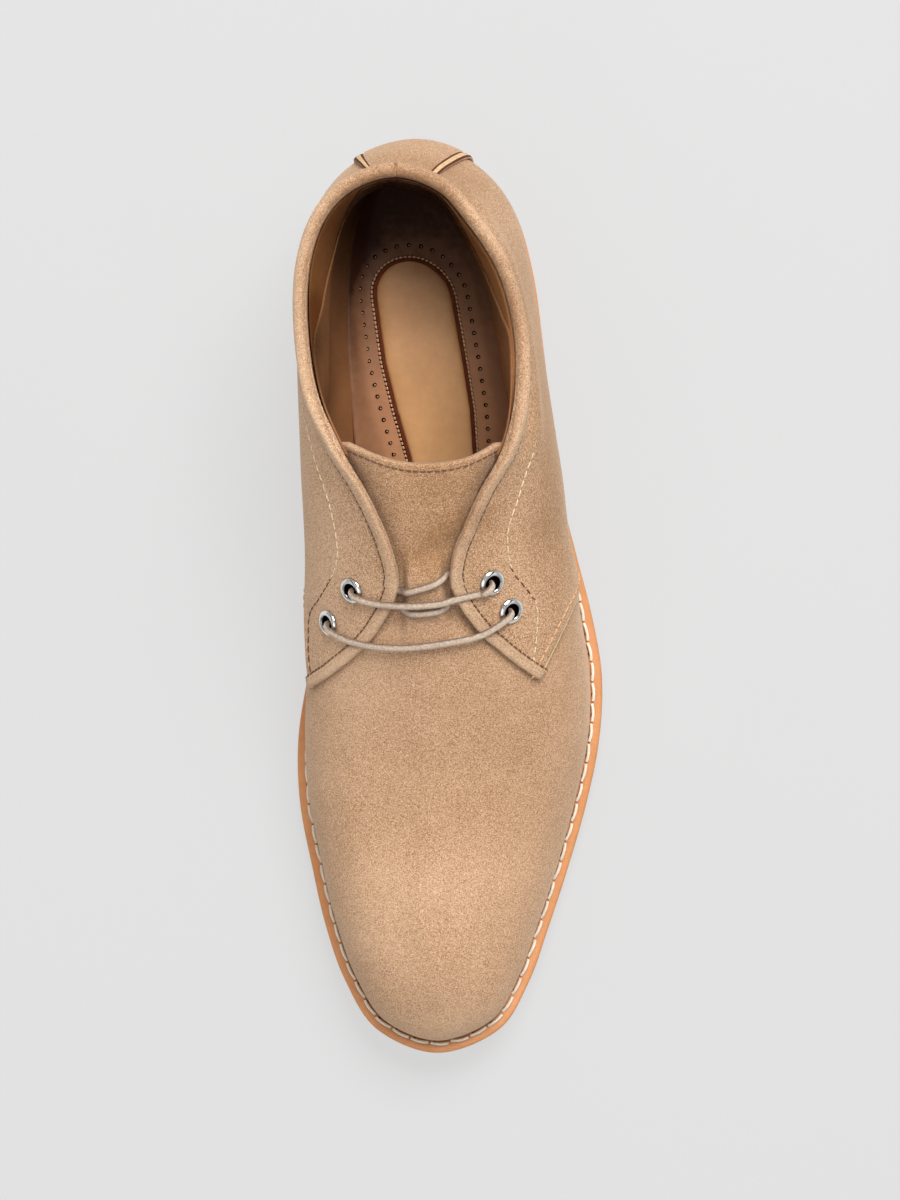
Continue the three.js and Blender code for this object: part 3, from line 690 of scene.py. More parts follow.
def node_group(name, **sockets):
    """An empty Geometry Nodes tree with a geometry input and output, and named inputs of (kind, default)."""
    tree = bpy.data.node_groups.new(name, "GeometryNodeTree")
    tree.interface.new_socket("Geometry", in_out="INPUT", socket_type="NodeSocketGeometry")
    for label, (kind, default) in sockets.items():
        label, kind = label.replace("_", " "), "NodeSocket" + kind
        socket = tree.interface.new_socket(label, in_out="INPUT", socket_type=kind)
        if default is not None:
            socket.default_value = default
    tree.interface.new_socket("Result", in_out="OUTPUT", socket_type="NodeSocketGeometry")
    return tree, add_node(tree, "NodeGroupInput", output=None)


def placed_along_path(tree, given, shape):
    """Ends a tree: its shape stands on the path at every pitch, turned a little by chance, and realized."""
    curve = add_node(tree, "GeometryNodeMeshToCurve", {"Mesh": given["Geometry"]})
    spaced = {"Curve": curve, "Length": given["Pitch"]}
    even = add_node(tree, "GeometryNodeResampleCurve", spaced, mode="LENGTH")
    face = add_node(tree, "GeometryNodeInputNamedAttribute", {"Name": "face"}, data_type="FLOAT_VECTOR")
    axes = {"Primary Axis": face, "Secondary Axis": add_node(tree, "GeometryNodeInputTangent")}
    upright = add_node(tree, "FunctionNodeAxesToRotation", axes, primary_axis="Z", secondary_axis="X")
    limits = {"Min": [-angle for angle in LOOSE], "Max": LOOSE, "Seed": given["Seed"]}
    chance = add_node(tree, "FunctionNodeRandomValue", limits, data_type="FLOAT_VECTOR")
    lean = add_node(tree, "FunctionNodeEulerToRotation", {0: chance})
    rotation = add_node(tree, "FunctionNodeRotateRotation", {0: upright, 1: lean}, rotation_space="LOCAL")
    stand = {"Points": even, "Instance": shape, "Rotation": rotation}
    stood = add_node(tree, "GeometryNodeInstanceOnPoints", stand)
    real = add_node(tree, "GeometryNodeRealizeInstances", {0: stood})
    done = add_node(tree, "GeometryNodeSetMaterial", {0: real, "Material": given["Material"]})
    add_node(tree, "NodeGroupOutput", {"Result": done}, None)


def stitch_tree():
    """Threads along a path: each a short bent cord that dips at both ends."""
    tree, given = node_group(
        "Stitches", Pitch=("Float", 3 * MM), Stitch_length=("Float", 2.4 * MM), Rise=("Float", 0.5 * MM),
        Thread_diameter=("Float", 0.6 * MM), Seed=("Int", 1), Material=("Material", None),
    )
    half = times(tree, given["Stitch length"], 0.5)
    sink = times(tree, given["Rise"], -0.6)
    start = add_node(tree, "ShaderNodeCombineXYZ", {0: times(tree, half, -1.0), 2: sink})
    middle = add_node(tree, "ShaderNodeCombineXYZ", {2: given["Rise"]})
    end = add_node(tree, "ShaderNodeCombineXYZ", {0: half, 2: sink})
    bend = {"Resolution": 5, "Start": start, "Middle": middle, "End": end}
    thread = add_node(tree, "GeometryNodeCurveQuadraticBezier", bend)
    size = {"Resolution": 6, "Radius": times(tree, given["Thread diameter"], 0.5)}
    outline = add_node(tree, "GeometryNodeCurvePrimitiveCircle", size)
    cord = {"Curve": thread, "Profile Curve": outline, "Fill Caps": True}
    placed_along_path(tree, given, add_node(tree, "GeometryNodeCurveToMesh", cord))
    return tree


def hole_tree():
    """Punched holes along a path: each a flat disc, just proud of the leather."""
    tree, given = node_group(
        "Holes", Pitch=("Float", 3.8 * MM), Diameter=("Float", 1.1 * MM), Seed=("Int", 1),
        Material=("Material", None),
    )
    size = {"Vertices": 12, "Radius": times(tree, given["Diameter"], 0.5), "Depth": 0.16 * MM}
    placed_along_path(tree, given, add_node(tree, "GeometryNodeMeshCylinder", size))
    return tree


def run_along(name, tree, points, faces, **inputs):
    """A plain mesh from a tree that places a shape along a path; faces says which way the shape looks."""
    points, faces = np.asarray(points), np.broadcast_to(faces, np.shape(points))
    mesh = bpy.data.meshes.new(name + "_path")
    edges = [(i, i + 1) for i in range(len(points) - 1)]
    mesh.from_pydata((points * MM).tolist(), edges, [])
    looks_to = mesh.attributes.new("face", "FLOAT_VECTOR", "POINT")
    looks_to.data.foreach_set("vector", np.ravel(faces).astype(np.float32))
    path = new_object(mesh)
    modifier = path.modifiers.new("Made along the path", "NODES")
    modifier.node_group = tree
    ids = socket_ids(tree)
    for label, value in inputs.items():
        modifier[ids[label.replace("_", " ")]] = value
    baked = bpy.data.meshes.new_from_object(path.evaluated_get(bpy.context.evaluated_depsgraph_get()))
    bpy.data.objects.remove(path)
    for polygon in baked.polygons:
        polygon.use_smooth = True
    baked.name = name
    return baked


# ---------------------------------------------------------------- the upper's pieces
def vamp_face(rib, height):
    """The vamp lies on the last; the tongue dips under the facings and rises between them."""
    # The facings part from rib 7.7 on, above the shoulder line; the tongue has become vamp by rib 9.2.
    open_throat = ease(height, 1, 1.4) * ease(rib, 7.7, 8.4)
    on_tongue = (1 - ease(rib, 8.5, 9.2)) * ease(height, 0.5, 0.62)
    return -TONGUE_DIP * (1 - open_throat) * on_tongue


def make_vamp(rows=170, columns=150):
    """The vamp and the tongue, which are one piece of suede."""
    t, a = np.meshgrid(np.linspace(0, 1, rows), np.linspace(-1, 1, columns), indexing="ij")
    side, b = np.where(a < 0, MEDIAL, LATERAL), np.abs(a)
    edges = route(VAMP_ROWS, t)
    edge_rib = np.where(a < 0, edges[..., 1], edges[..., 3])
    edge_height = np.maximum(0, np.where(a < 0, edges[..., 2], edges[..., 4]))
    rib = np.minimum(TOE, mix(edges[..., 0], edge_rib, b * b))
    height = 2 - b * (2 - edge_height)
    face = vamp_face(rib, height)
    outer = skin(rib, height, side, face)
    inner = skin(rib, height, side, face - SUEDE)
    mesh = wall_mesh("vamp_and_tongue", outer, inner, patches(outer, NAP_TONES_AND_PAINTED_LIGHT), closed_end=True)
    add_piece(mesh, ["suede", "lining"], "suede", "tongue", "upper")


# What the quarter's padding leaves under the lateral collar: distance down from the edge, half width, height.
COLLAR_SWELLS = [(19, 5, 0.9), (9, 2.8, -0.9)]
QUARTER_DEPTH = 78  # from the collar down to the sole


def collar_fold(u, v):
    """The soft ridge and the crease above it, which fade out towards the heel and the facing."""
    down = (1 - v) * QUARTER_DEPTH
    fades = ease(u, 0.1, 0.22) * (1 - ease(u, 0.55, 0.72))
    return fades * sum(height * np.exp(-(((down - at) / wide) ** 2)) for at, wide, height in COLLAR_SWELLS)


def sides_of(u):
    """Each side, and which places of a grid are on it: u is negative on the medial side."""
    return (MEDIAL, u < 0), (LATERAL, u >= 0)


def quarter_grid(u, v, offset):
    """Points of both quarters as one grid, u from -1 (medial tip) through the heel to 1 (lateral tip)."""
    points = np.empty(u.shape + (3,))
    for side, own in sides_of(u):
        rib, height = quarter_place(np.abs(u[own]), v[own], side).T
        points[own] = skin(rib, height, side, offset(rib, height, side, collar_fold(u[own], v[own])))
    return points


def make_quarters(columns=300, rows=90):
    """Both quarters as one sheet, thicker towards the heel where it is padded."""
    u, v = np.meshgrid(np.linspace(1, -1, columns), np.linspace(0, 1, rows), indexing="ij")
    outer = quarter_grid(u, v, lambda rib, height, side, swell: QUARTER + swell)
    inner = quarter_grid(u, v, lambda rib, height, side, swell: mix(-1.6, 0.15, ease(rib, 5.6, 7)) + swell)
    mesh = wall_mesh("quarters", outer, inner, patches(outer, NAP_TONES_AND_PAINTED_LIGHT))
    add_piece(mesh, ["loose suede", "lining"], "suede", "upper")


# Outlines of the binding round the top edge, as (distance in from the edge, offset from the last).
BINDING = {
    "collar": [
        (4.2, 1.3), (4.15, 1.95), (3.6, 2.25), (2.95, 1.95), (2.2, 2.5), (1.1, 2.6), (0.1, 2.05), (-0.5, 1.0),
        (-0.5, -0.3), (-0.1, -1.3), (0.6, -1.9), (1.3, -2.1), (1.4, -1.4),
    ],
    "facing": [
        (3.9, 1.3), (3.85, 1.95), (3.6, 2.15), (2.9, 2.2), (2.1, 2.25), (1.0, 2.25), (0.2, 2.15), (-0.1, 1.7),
        (-0.1, 0.8), (0.15, 0.0), (0.6, -0.6), (1.3, -0.9), (1.4, -0.3),
    ],
    "tab": [
        (3.6, 1.3), (3.55, 1.95), (3.2, 2.15), (2.7, 2.15), (2.1, 2.2), (1.2, 2.2), (0.3, 2.1), (-0.05, 1.75),
        (-0.1, 1.2), (-0.1, 0.6), (0.0, 0.1), (0.9, 0.1), (1.3, 0.6),
    ],
}


def binding_outline(u):
    """The binding's outline at each u, going over from one shape to the next."""
    collar, facing, tab = (np.array(BINDING[name])[None] for name in ("collar", "facing", "tab"))
    on_facing, on_tab = (ease(u, *reach)[:, None, None] for reach in ((0.5, 0.66), (0.86, 0.91)))
    return mix(mix(collar, facing, on_facing), tab, on_tab)


# The binding's painted shade round its outline: darker at both edges and dark on its inner face.
BINDING_PAINTED_SHADE = [-0.6, -0.25, 0.0, -0.1, 0.02, 0.04, 0.0, -0.1, -0.3, -0.5, -0.6, -0.6, -0.6]


# Where the binding's ends meet: the place and half width in u, the ends of the coarse and the fine rows
# beside it, and how far it cuts down and in, in millimetres.
NOTCH = {"at": 0.002, "half_width": 0.0022, "reach": 0.012, "fine": 0.011, "down": 0.9, "in": 0.7}


def make_binding(rows=420):
    """A folded strip, a little uneven by hand, whose two ends meet in a notch at the back of the heel."""
    half = np.linspace(1, NOTCH["reach"], rows // 2)
    fine = np.linspace(NOTCH["fine"], -NOTCH["fine"], 26)
    u = np.concatenate([half, fine, -half[::-1]])
    outline = binding_outline(np.abs(u))
    wander = 0.05 * np.sin(61 * u) + 0.05 * np.sin(143 * u + 1) + 0.03 * np.sin(257 * u + 2)
    notch = np.exp(-(((u - NOTCH["at"]) / NOTCH["half_width"]) ** 2))[:, None]
    outline[..., 0] += wander[:, None] + NOTCH["down"] * notch * (outline[..., 0] < 1)
    outline[..., 1] -= NOTCH["in"] * notch * (outline[..., 1] > 0.5)
    sections = np.empty(outline.shape[:2] + (3,))
    for side, own in sides_of(u):
        slid, v = from_edge(np.abs(u[own])[:, None], outline[own, :, 0], side)
        sections[own] = on_quarter(np.abs(slid), v, side, outline[own, :, 1])
    # Painted shade darkens the notch; the suede's nap tones and painted light come on top.
    tone = np.array(BINDING_PAINTED_SHADE) - 0.8 * notch + 0.6 * patches(sections, NAP_TONES_AND_PAINTED_LIGHT)
    add_piece(tube_mesh("top_binding", sections, tone=tone.ravel()), ["band"], "suede")


# Across half of the heel stay from its edge inwards: a dark line of painted shade, the raw cut edge, and a
# dark line of painted shade.
STAY_STRIPS = [1, 0.955, 0.865, 0.815]


def make_heel_stay(columns=50, rows=60):
    """The strip over the seam at the back of the heel, with its cut edges left raw."""
    strips = np.array(STAY_STRIPS)
    across = np.concatenate([strips[:-1], np.linspace(strips[-1], -strips[-1], columns), -strips[-2::-1]])
    a, v = np.meshgrid(across, np.linspace(0, 1, rows), indexing="ij")
    # Its half width in ribs, wider at the foot and more so on the medial side; it thins under the binding.
    half = np.where(a < 0, mix(1.3, 0.56, v), mix(1.0, 0.84, v))
    height = mix(0.03, 0.95, v)
    thin = ease(height, 0.8, 0.94)
    side = np.where(a < 0, MEDIAL, LATERAL)
    line = np.isin(np.abs(a), strips[[0, 3]])
    outer = skin(np.abs(a) * half, height, side, mix(3.0, 2.15, thin) - 0.3 * line)
    inner = skin(np.abs(a) * half, height, side, mix(1.9, 1.5, thin))
    parts = [2, 1, 2] + [0] * (columns - 1) + [2, 1, 2]
    mesh = wall_mesh("heel_stay_strip", outer, inner, patches(outer, NAP_TONES_AND_PAINTED_LIGHT), strips=parts)
    add_piece(mesh, ["loose suede", "raw edge", "piping"], "suede", "heel_stay")


LINING_SWELL = {MEDIAL: 5.5, LATERAL: 7.5}
FULLEST = 0.62  # the height on the last where the padding is thickest


def lining_face(rib, height, side, depth):
    """The soft padding of the lining, fullest under the collar and gone towards the facings and the sole."""
    above = np.clip(1 - ((height - FULLEST) / (1 - FULLEST)) ** 2, 0, 1)
    below = 0.35 + 0.65 * np.clip(height, 0, FULLEST) / FULLEST
    swell = np.where(height > FULLEST, above, below) * (1 - ease(rib, 4.5, 6.5))
    return -depth - np.where(side < 0, LINING_SWELL[MEDIAL], LINING_SWELL[LATERAL]) * swell


# The dark lining's upper edge, from the middle of the heel forwards, as (rib, height). It is cut low on
# both sides, where the tan lining shows above it.
HEEL_LINING_EDGE = {
    MEDIAL: [
        (0, 0.985), (0.85, 0.97), (1.05, 0.89), (1.8, 0.66), (2.3, 0.6), (2.7, 0.64), (3.1, 0.72),
        (3.6, 0.81), (4.1, 0.95), (4.4, 0.985), (6.3, 0.985),
    ],
    LATERAL: [
        (0, 0.985), (1.2, 0.985), (1.9, 0.96), (2.4, 0.91), (2.85, 0.88), (3.3, 0.9), (3.75, 0.94),
        (4.05, 0.985), (6.3, 0.985),
    ],
}
# Each lining's two faces, as depths under the last before the padding is added.
TAN_DEPTHS, DARK_DEPTHS = (1.65, 2.2), (2.3, 2.9)
TAN_END, DARK_END = 4.7, 6.3  # the ribs where the tan leather and the dark lining stop


def painted_inner_shade(point, strength=1.0):
    """Painted shade on the leather inside: darker towards the heel, where the collar shades it, and a little
    darker on its medial side.
    """
    x, y = point[..., 0], point[..., 1]
    back = 0.14 - 0.66 * ease(y, 48, 138)
    return strength * (back + 0.1 * ease(x, 4, 18) - 0.1 * (1 - ease(x, -46, -32)))


def make_quarter_lining():
    """The lining of both quarters: tan over the heel, dark towards the facings."""
    u, v = np.meshgrid(np.linspace(0.86, -0.86, 160), np.linspace(0.01, 0.985, 60), indexing="ij")
    v *= 1 - 0.03 * ease(np.abs(u), 0.45, 0.6)
    sheets = [
        quarter_grid(u, v, lambda rib, height, side, swell: lining_face(rib, height, side, depth))
        for depth in TAN_DEPTHS
    ]
    tan = np.abs(u[1:, 0]) * THROAT / THROAT_SHARE < TAN_END
    # Its medial wall is dark in front of the heel, where the collar shades it.
    x, y = sheets[1][..., 0], sheets[1][..., 1]
    shade = painted_inner_shade(sheets[1], 0.75) - 0.9 * (1 - ease(x, -44, -34)) * (1 - ease(y, 75, 105))
    mesh = wall_mesh("quarter_lining", sheets[1], sheets[0], shade, strips=np.where(tan, 1, 0))
    add_piece(mesh, ["heel lining", "lining"], "insole_leather")


def make_heel_lining():
    """The dark lining of the heel, over the tan one."""
    a, v = np.meshgrid(np.linspace(1, -1, 160), np.linspace(0, 1, 60), indexing="ij")
    side, rib = np.where(a < 0, MEDIAL, LATERAL), np.abs(a) * DARK_END
    edges = [np.array(HEEL_LINING_EDGE[k]) for k in (MEDIAL, LATERAL)]
    top = np.where(a < 0, *(np.interp(rib, edge[:, 0], edge[:, 1]) for edge in edges))
    height = 0.02 + v * (top - 0.02)
    sheets = [skin(rib, height, side, lining_face(rib, height, side, depth)) for depth in DARK_DEPTHS]
    x, y = sheets[1][..., 0], sheets[1][..., 1]
    # Painted light makes it paler on its medial wall, and painted shade makes it dark again close under the
    # collar there.
    shade = painted_inner_shade(sheets[1]) + 0.22 * (1 - ease(x, -36, -18))
    shade -= 0.5 * (1 - ease(x, -44, -37)) * (1 - ease(y, 78, 98))
    add_piece(wall_mesh("heel_lining", *sheets, shade), ["heel lining", "heel lining"], "insole_leather")


# ---------------------------------------------------------------- the sole's pieces
def sole_rows(ribs, profile, low, high, front=None):
    """Rings round each rib's cross-section. The profile's rows are (inset, share of the height)."""
    ribs = np.asarray(ribs, float)
    span = np.linspace(0, 1, 14)[1:-1]
    rings = []
    for inset, share in profile:
        pair = [sole_edge(ribs, side) + inward(ribs, side) * inset for side in (MEDIAL, LATERAL)]
        for p in pair:
            station = MIDDLE["station"] - p[:, 1]
            p[:, 2] = mix(low(station), high(station), share)
        rings.append(pair)

    def across(a, b):
        return [mix(a, b, s) for s in span]

    medial = [pair[0] for pair in rings]
    lateral = [pair[1] for pair in rings]
    loop = medial + across(medial[-1], lateral[-1]) + lateral[::-1] + across(lateral[0], medial[0])
    points = np.stack(loop, 1)
    if front is not None:
        limit = MIDDLE["station"] - front(points[..., 0])
        points[..., 1] = np.maximum(points[..., 1], limit)
    return points


def sole_ribs(per_rib=10, end=TOE):
    """Ribs that crowd towards the heel and the toe, where the outline turns."""
    t = np.linspace(0, 1, per_rib * TOE + 1)
    ribs = TOE * (t - np.sin(2 * math.pi * t) / (2 * math.pi) * 0.7)
    return ribs[ribs <= end] if end < TOE else ribs


# Profiles of the rims, as (inset, share of the height) from the bottom up.
MIDSOLE_EDGE = [(1.2, 0), (0.35, 0.06), (0, 0.25), (0, 0.6), (0.12, 0.82), (0.5, 0.95), (1.2, 1)]
OUTSOLE_EDGE = [(1.6, 0), (0.5, 0.05), (0.1, 0.2), (0, 0.5), (0, 0.8), (0.3, 0.95), (1.0, 1)]
# The heel block's lifts, and the profile of each as (height over its bottom, how deep the joint is cut).
LIFTS, LIFT_ROWS = 3, ((0.175, 0.25), (0.55, 0), (4.225, 0), (4.75, 0.25))


def make_sole():
    ribs = sole_ribs()
    midsole = tube_mesh("midsole_rim", sole_rows(ribs, MIDSOLE_EDGE, midsole_bottom, midsole_top))
    add_piece(midsole, ["welt"], "midsole_leather", "midsole")
    outsole = tube_mesh("outsole_rubber", sole_rows(ribs, OUTSOLE_EDGE, sole_bottom, outsole_top))
    add_piece(outsole, ["rubber"], "sole_rubber", "outsole")


def make_heel_block():
    """Lifts with fine joints between them, tapering to the floor and hollowed at the breast."""
    height, nearest = HEEL_BLOCK["height"], HEEL_BLOCK["front"] - BREAST["hollow"]
    radius = BREAST["width"] ** 2 / (8 * BREAST["hollow"])
    profile = [(2.4, 0), (1.9, 0.03)]
    for lift in range(LIFTS):
        for rise, cut in LIFT_ROWS:
            level = min(0.985, (lift * height / LIFTS + rise) / height)
            profile.append((HEEL_BLOCK["inset"] + HEEL_BLOCK["taper"] * (1 - level) + cut, level))
    profile.append((1.2, 1))
    points = sole_rows(
        np.linspace(0, HEEL_BLOCK["front_rib"], 70), profile,
        np.zeros_like, lambda station: np.full_like(station, height),
        lambda x: nearest + (x - BREAST["middle"]) ** 2 / (2 * radius),
    )
    add_piece(tube_mesh("heel_block", points), ["rubber"], "sole_rubber", "heel")


TURN_UP = 4.5  # how far the insole's edge climbs
SUNK = 0.4  # how far its middle lies under the CAD insole's top


def insole_top_at(x, y):
    """The insole's upper face, at a place in plan."""
    return insole_top(MIDDLE["station"] - y) - SUNK + insole_rise(x, y)


def insole_rise(x, y):
    """How far the insole is turned up towards the lining, at a place in plan."""
    ribs = np.linspace(0, TOE, 240)
    edges = [feather(ribs, side, INSOLE["wall_room"]) for side in (MEDIAL, LATERAL)]
    medial, lateral = (np.interp(-y, -edge[:, 1], edge[:, 0]) for edge in edges)
    across = (2 * x - medial - lateral) / np.maximum(1, lateral - medial)
    return TURN_UP * ease(np.abs(across), 0.72, 1.08)


def pad_distance(x, y):
    """How far a place in plan is from the heel pad's edge, along the pad and round its back."""
    rows = np.array(PAD)
    along = np.minimum(y, rows[0, 0] - rows[0, 2])
    middle, half = (np.interp(-along, -rows[:, 0], rows[:, k]) for k in (1, 2))
    return np.hypot(x - middle, y - along) - half


def make_insole():
    """The insole, turned up against the lining: darker along its medial edge, paler round the pad."""
    ribs, s = np.meshgrid(sole_ribs(6), np.linspace(-1, 1, 40), indexing="ij")
    medial, lateral = (feather(ribs, side, INSOLE["wall_room"]) for side in (MEDIAL, LATERAL))
    top = mix(medial, lateral, ((s + 1) / 2)[..., None])
    x, y = top[..., 0], top[..., 1]
    top[..., 2] = insole_top_at(x, y)
    under = top.copy()
    under[..., 2] = midsole_top(MIDDLE["station"] - y) + GAP
    # Painted shade darkens it towards the heel; it is also darker along its medial edge and paler round the
    # pad.
    tone = painted_inner_shade(top) - 0.22 * (1 - ease(s, -0.95, -0.5)) + 0.14 * (1 - ease(pad_distance(x, y), 7, 9.5))
    add_piece(wall_mesh("insole_cover", top, under, tone), ["insole"], "insole_leather", "insole")


# The heel pad's middle line, from behind the heel forwards: places along and across the boot, half width.
PAD = [
    [110.8, -13.4, 12.2], [100.4, -12, 12.2], [77.4, -8.4, 12.6], [62, -5.3, 11.9], [46.8, -2.6, 10.2],
    [20, 1.6, 8.8], [-6, 4, 8.4],
]
# How far the lines round the pad lie outside its edge.
PIPING_OUT, STITCHES_OUT, HOLES_OUT = 0.55, 1.55, 5.4


def pad_outline(spread, count=240):
    """The pad's edge, drawn outwards by spread: its medial and lateral halves, from the front to the back."""
    rows = np.array(PAD)
    front, turn = rows[-1, 0], rows[0, 2] + spread
    bend = rows[0, 0] + spread - turn
    round_back = bend + turn * np.sin(np.linspace(0.02, math.pi / 2, count // 2))
    along = np.concatenate([front + (bend - front) * np.linspace(0, 1, count), round_back])
    middle, half = (np.interp(-along, -rows[:, 0], rows[:, k]) for k in (1, 2))
    half = (half + spread) * np.sqrt(np.clip(1 - (np.maximum(0, along - bend) / turn) ** 2, 0, 1))
    return np.stack([middle - half, along], -1), np.stack([middle + half, along], -1)


def pad_line(spread, rise=0.0):
    """A line on the insole round the pad, from its front on the medial side to its front on the lateral."""
    medial, lateral = pad_outline(spread)
    plan = np.concatenate([medial, lateral[::-1]])
    line = np.concatenate([plan, insole_top_at(plan[:, :1], plan[:, 1:]) + rise], -1)
    return resampled(line, SPACING, extra=0)


def make_pad():
    """The padded heel pad, crowned with rounded edges, and the piping round it."""
    medial, lateral = pad_outline(0)
    s = np.linspace(-1, 1, 36)
    plan = mix(medial[:, None], lateral[:, None], ((s + 1) / 2)[:, None])
    # It rises 1.1 mm within a third of its half width, and only a quarter of that at its back end.
    edge = np.minimum(1, 3.2 * (1 - np.abs(s)))
    ends = ease(PAD[0][0] - plan[..., 1], 0, 7)
    crown = 0.2 + 1.1 * np.sqrt(np.clip(edge * (2 - edge), 0, 1)) * (0.25 + 0.75 * ends)
    base = insole_top(MIDDLE["station"] - plan[..., 1]) - SUNK
    top, under = (np.concatenate([plan, z[..., None]], -1) for z in (base + crown, base - 0.3))
    # Painted shade darkens it towards the heel.
    pad = add_piece(wall_mesh("heel_pad", top, under, painted_inner_shade(top, 0.8) + 0.09), ["pad"], "insole_leather")
    line = pad_line(PIPING_OUT)
    ring = np.array([[math.cos(k) * 0.7, math.sin(k) * 0.5] for k in np.linspace(0, 2 * math.pi, 13)[:-1]])
    piping = tube_mesh("pad_piping", cord_sections(line, np.broadcast_to(UP, line.shape), ring))
    add_piece(piping, ["piping"], "insole_leather")


# ---------------------------------------------------------------- eyelets and laces
# An eyelet's section, as (radius, height over the quarter), and the painted reflection and shade on each of
# its points: bright on the crown, dark down the bore.
BORE = 2.3
EYELET = [
    (BORE, -2.4), (2.7, -2.4), (2.7, 0.1), (4.05, 0.1), (4.3, 0.25), (4.3, 0.5), (4.05, 0.85), (3.55, 1.15),
    (3.2, 1.3), (2.75, 1.15), (2.45, 0.75), (BORE, 0.1),
]
EYELET_GLINT_AND_SHADE = [-1, -1, -1, -0.6, -0.4, 0.1, 0.3, 0.4, 0.4, 0.0, -0.5, -1]
EYELET_HOLE = [(0, -0.6), (BORE + 0.1, -0.6), (BORE + 0.1, 0.06), (0, 0.06)]


def eyelet_frame(side, rib, height):
    return skin(rib, height, side, QUARTER), normal(rib, height, side)


def turned(name, profile, at, axis, tone=None, steps=40):
    """A closed ring: an outline of (radius, height) turned round an axis."""
    first = unit(np.cross(axis, UP))
    second = np.cross(axis, first)
    angles = np.linspace(0, 2 * math.pi, steps + 1)[:, None, None]
    radius, height = np.array(profile).T[..., None]
    rings = at + (first * np.cos(angles) + second * np.sin(angles)) * radius + axis * height
    tones = None if tone is None else np.tile(tone, len(rings))
    return mesh_of(name, rings.reshape(-1, 3), grid_faces(len(rings), len(profile), closed=True), tone=tones)


def make_eyelets():
    """Domed rings with a rolled edge and an open barrel, each over a near-black disc of painted shade in its
    punched hole.
    """
    for name, place_on_last in EYELETS.items():
        at, axis = eyelet_frame(*place_on_last)
        add_piece(turned(name + "_ring", EYELET, at, axis, EYELET_GLINT_AND_SHADE), ["nickel"], "eyelet_metal", name)
        add_piece(turned(name + "_hole", EYELET_HOLE, at, axis), ["hole"], "suede")


# Each run of the lace goes from one eyelet to the other, above the facings or else under them, past these
# places: side, rib, height on the last, and how far it is lifted off what it lies on.
LACES = {
    "lace_over_upper": ("eyelet_medial_upper", "eyelet_lateral_upper", True, [
        (MEDIAL, 8.49, 0.9, 0.3), (MEDIAL, 8.48, 1, 0), (MEDIAL, 8.47, 1.6, 0),
        (LATERAL, 8.44, 1.5, 0), (LATERAL, 8.4, 1, 0), (LATERAL, 8.36, 0.9, 0.3),
    ]),
    "lace_over_lower": ("eyelet_medial_lower", "eyelet_lateral_lower", True, [
        (MEDIAL, 9.0, 0.77, 0), (MEDIAL, 9.1, 0.9, 0), (MEDIAL, 9.08, 1.43, -0.5),
        (LATERAL, 9.02, 1.42, -0.5), (LATERAL, 8.92, 0.92, 0),
    ]),
    "lace_under_upper": ("eyelet_medial_upper", "eyelet_lateral_upper", False, [
        (MEDIAL, 8.37, 0.93, 0), (MEDIAL, 8.36, 1.03, 0), (MEDIAL, 8.34, 1.18, 0.3), (MEDIAL, 8.3, 1.4, 0.3),
        (LATERAL, 8.2, 1.6, 0.3), (LATERAL, 8.14, 1.2, 0.3), (LATERAL, 8.12, 1.03, 0),
        (LATERAL, 8.12, 0.93, 0),
    ]),
    "lace_under_lower": ("eyelet_medial_lower", "eyelet_lateral_lower", False, [
        (MEDIAL, 8.62, 0.85, 0), (MEDIAL, 8.58, 1.03, 0), (MEDIAL, 8.59, 1.2, 0.1), (MEDIAL, 8.61, 1.6, 0.2),
        (LATERAL, 8.58, 1.6, 0.2), (LATERAL, 8.54, 1.2, 0.1), (LATERAL, 8.52, 1.03, 0),
        (LATERAL, 8.56, 0.9, 0),
    ]),
}
OVER = QUARTER + GAP + 0.85
UNDER = GAP + 0.8
# The way through an eyelet, as (distance from its axis, height off the last), from inside outwards.
THROUGH = {
    True: [(0, 1), (0.5, 3), (2.4, 4.1), (4.6, 3.9)],
    False: [(0, 0.5), (0.1, -0.6), (0.9, -1.6), (2.4, UNDER - TONGUE_DIP)],
}


def lace_line(start, finish, above, places):
    """Points along a run of the lace, each followed by the direction that its upper face looks."""
    side, rib, height, lift = np.array(places, float).T
    face = OVER if above else UNDER + np.array([float(vamp_face(r, h)) for r, h in zip(rib, height)])
    middle = seated(rib, height, side, face + lift)
    ends = []
    for name, towards in ((start, middle[0]), (finish, middle[-1])):
        at, axis = eyelet_frame(*EYELETS[name])
        away = towards[:3] - at
        away = unit(away - axis * (away @ axis))
        ends.append([np.concatenate([at + away * r + axis * (y - QUARTER), axis]) for r, y in THROUGH[above]])
    return smooth_line(np.vstack([ends[0], middle, ends[1][::-1]]), spacing=0.5)


def make_laces():
    """Flat-oval waxed cords, a little pillowed on each face."""
    angles = np.linspace(0, 2 * math.pi, 19)[:-1]
    wide, thick = LACE["width"] / 2, LACE["thickness"] / 2
    x, y = np.cos(angles), np.sin(angles)
    outline = np.stack([np.sign(x) * np.abs(x) ** 0.85 * wide, y * thick], -1)
    # Painted light and shade: paler on top and darker down both edges, most on the one towards the heel.
    tone = 0.3 * np.maximum(0, y) - 0.9 * np.where(x > 0, 1.0, 0.6) * np.abs(x) ** 3
    for name, run in LACES.items():
        line = lace_line(*run)
        sections = cord_sections(line[:, :3], line[:, 3:], outline)
        mesh = tube_mesh(name + "_run", sections, tone=np.tile(tone, len(line)))
        add_piece(mesh, ["cotton"], "lace_cotton", name)


# ---------------------------------------------------------------- sewn lines
PROUD = 0.12  # how far a row of stitches stands off what it is sewn to
FINE = 400  # points along a line, before it is spaced evenly
RIM_ROW = {"start": 4.6, "out": 1.45, "up": 0.75}  # first rib, distance outside the last, height on the welt
PAD_PITCH = 1.45  # of the small stitches round the heel pad
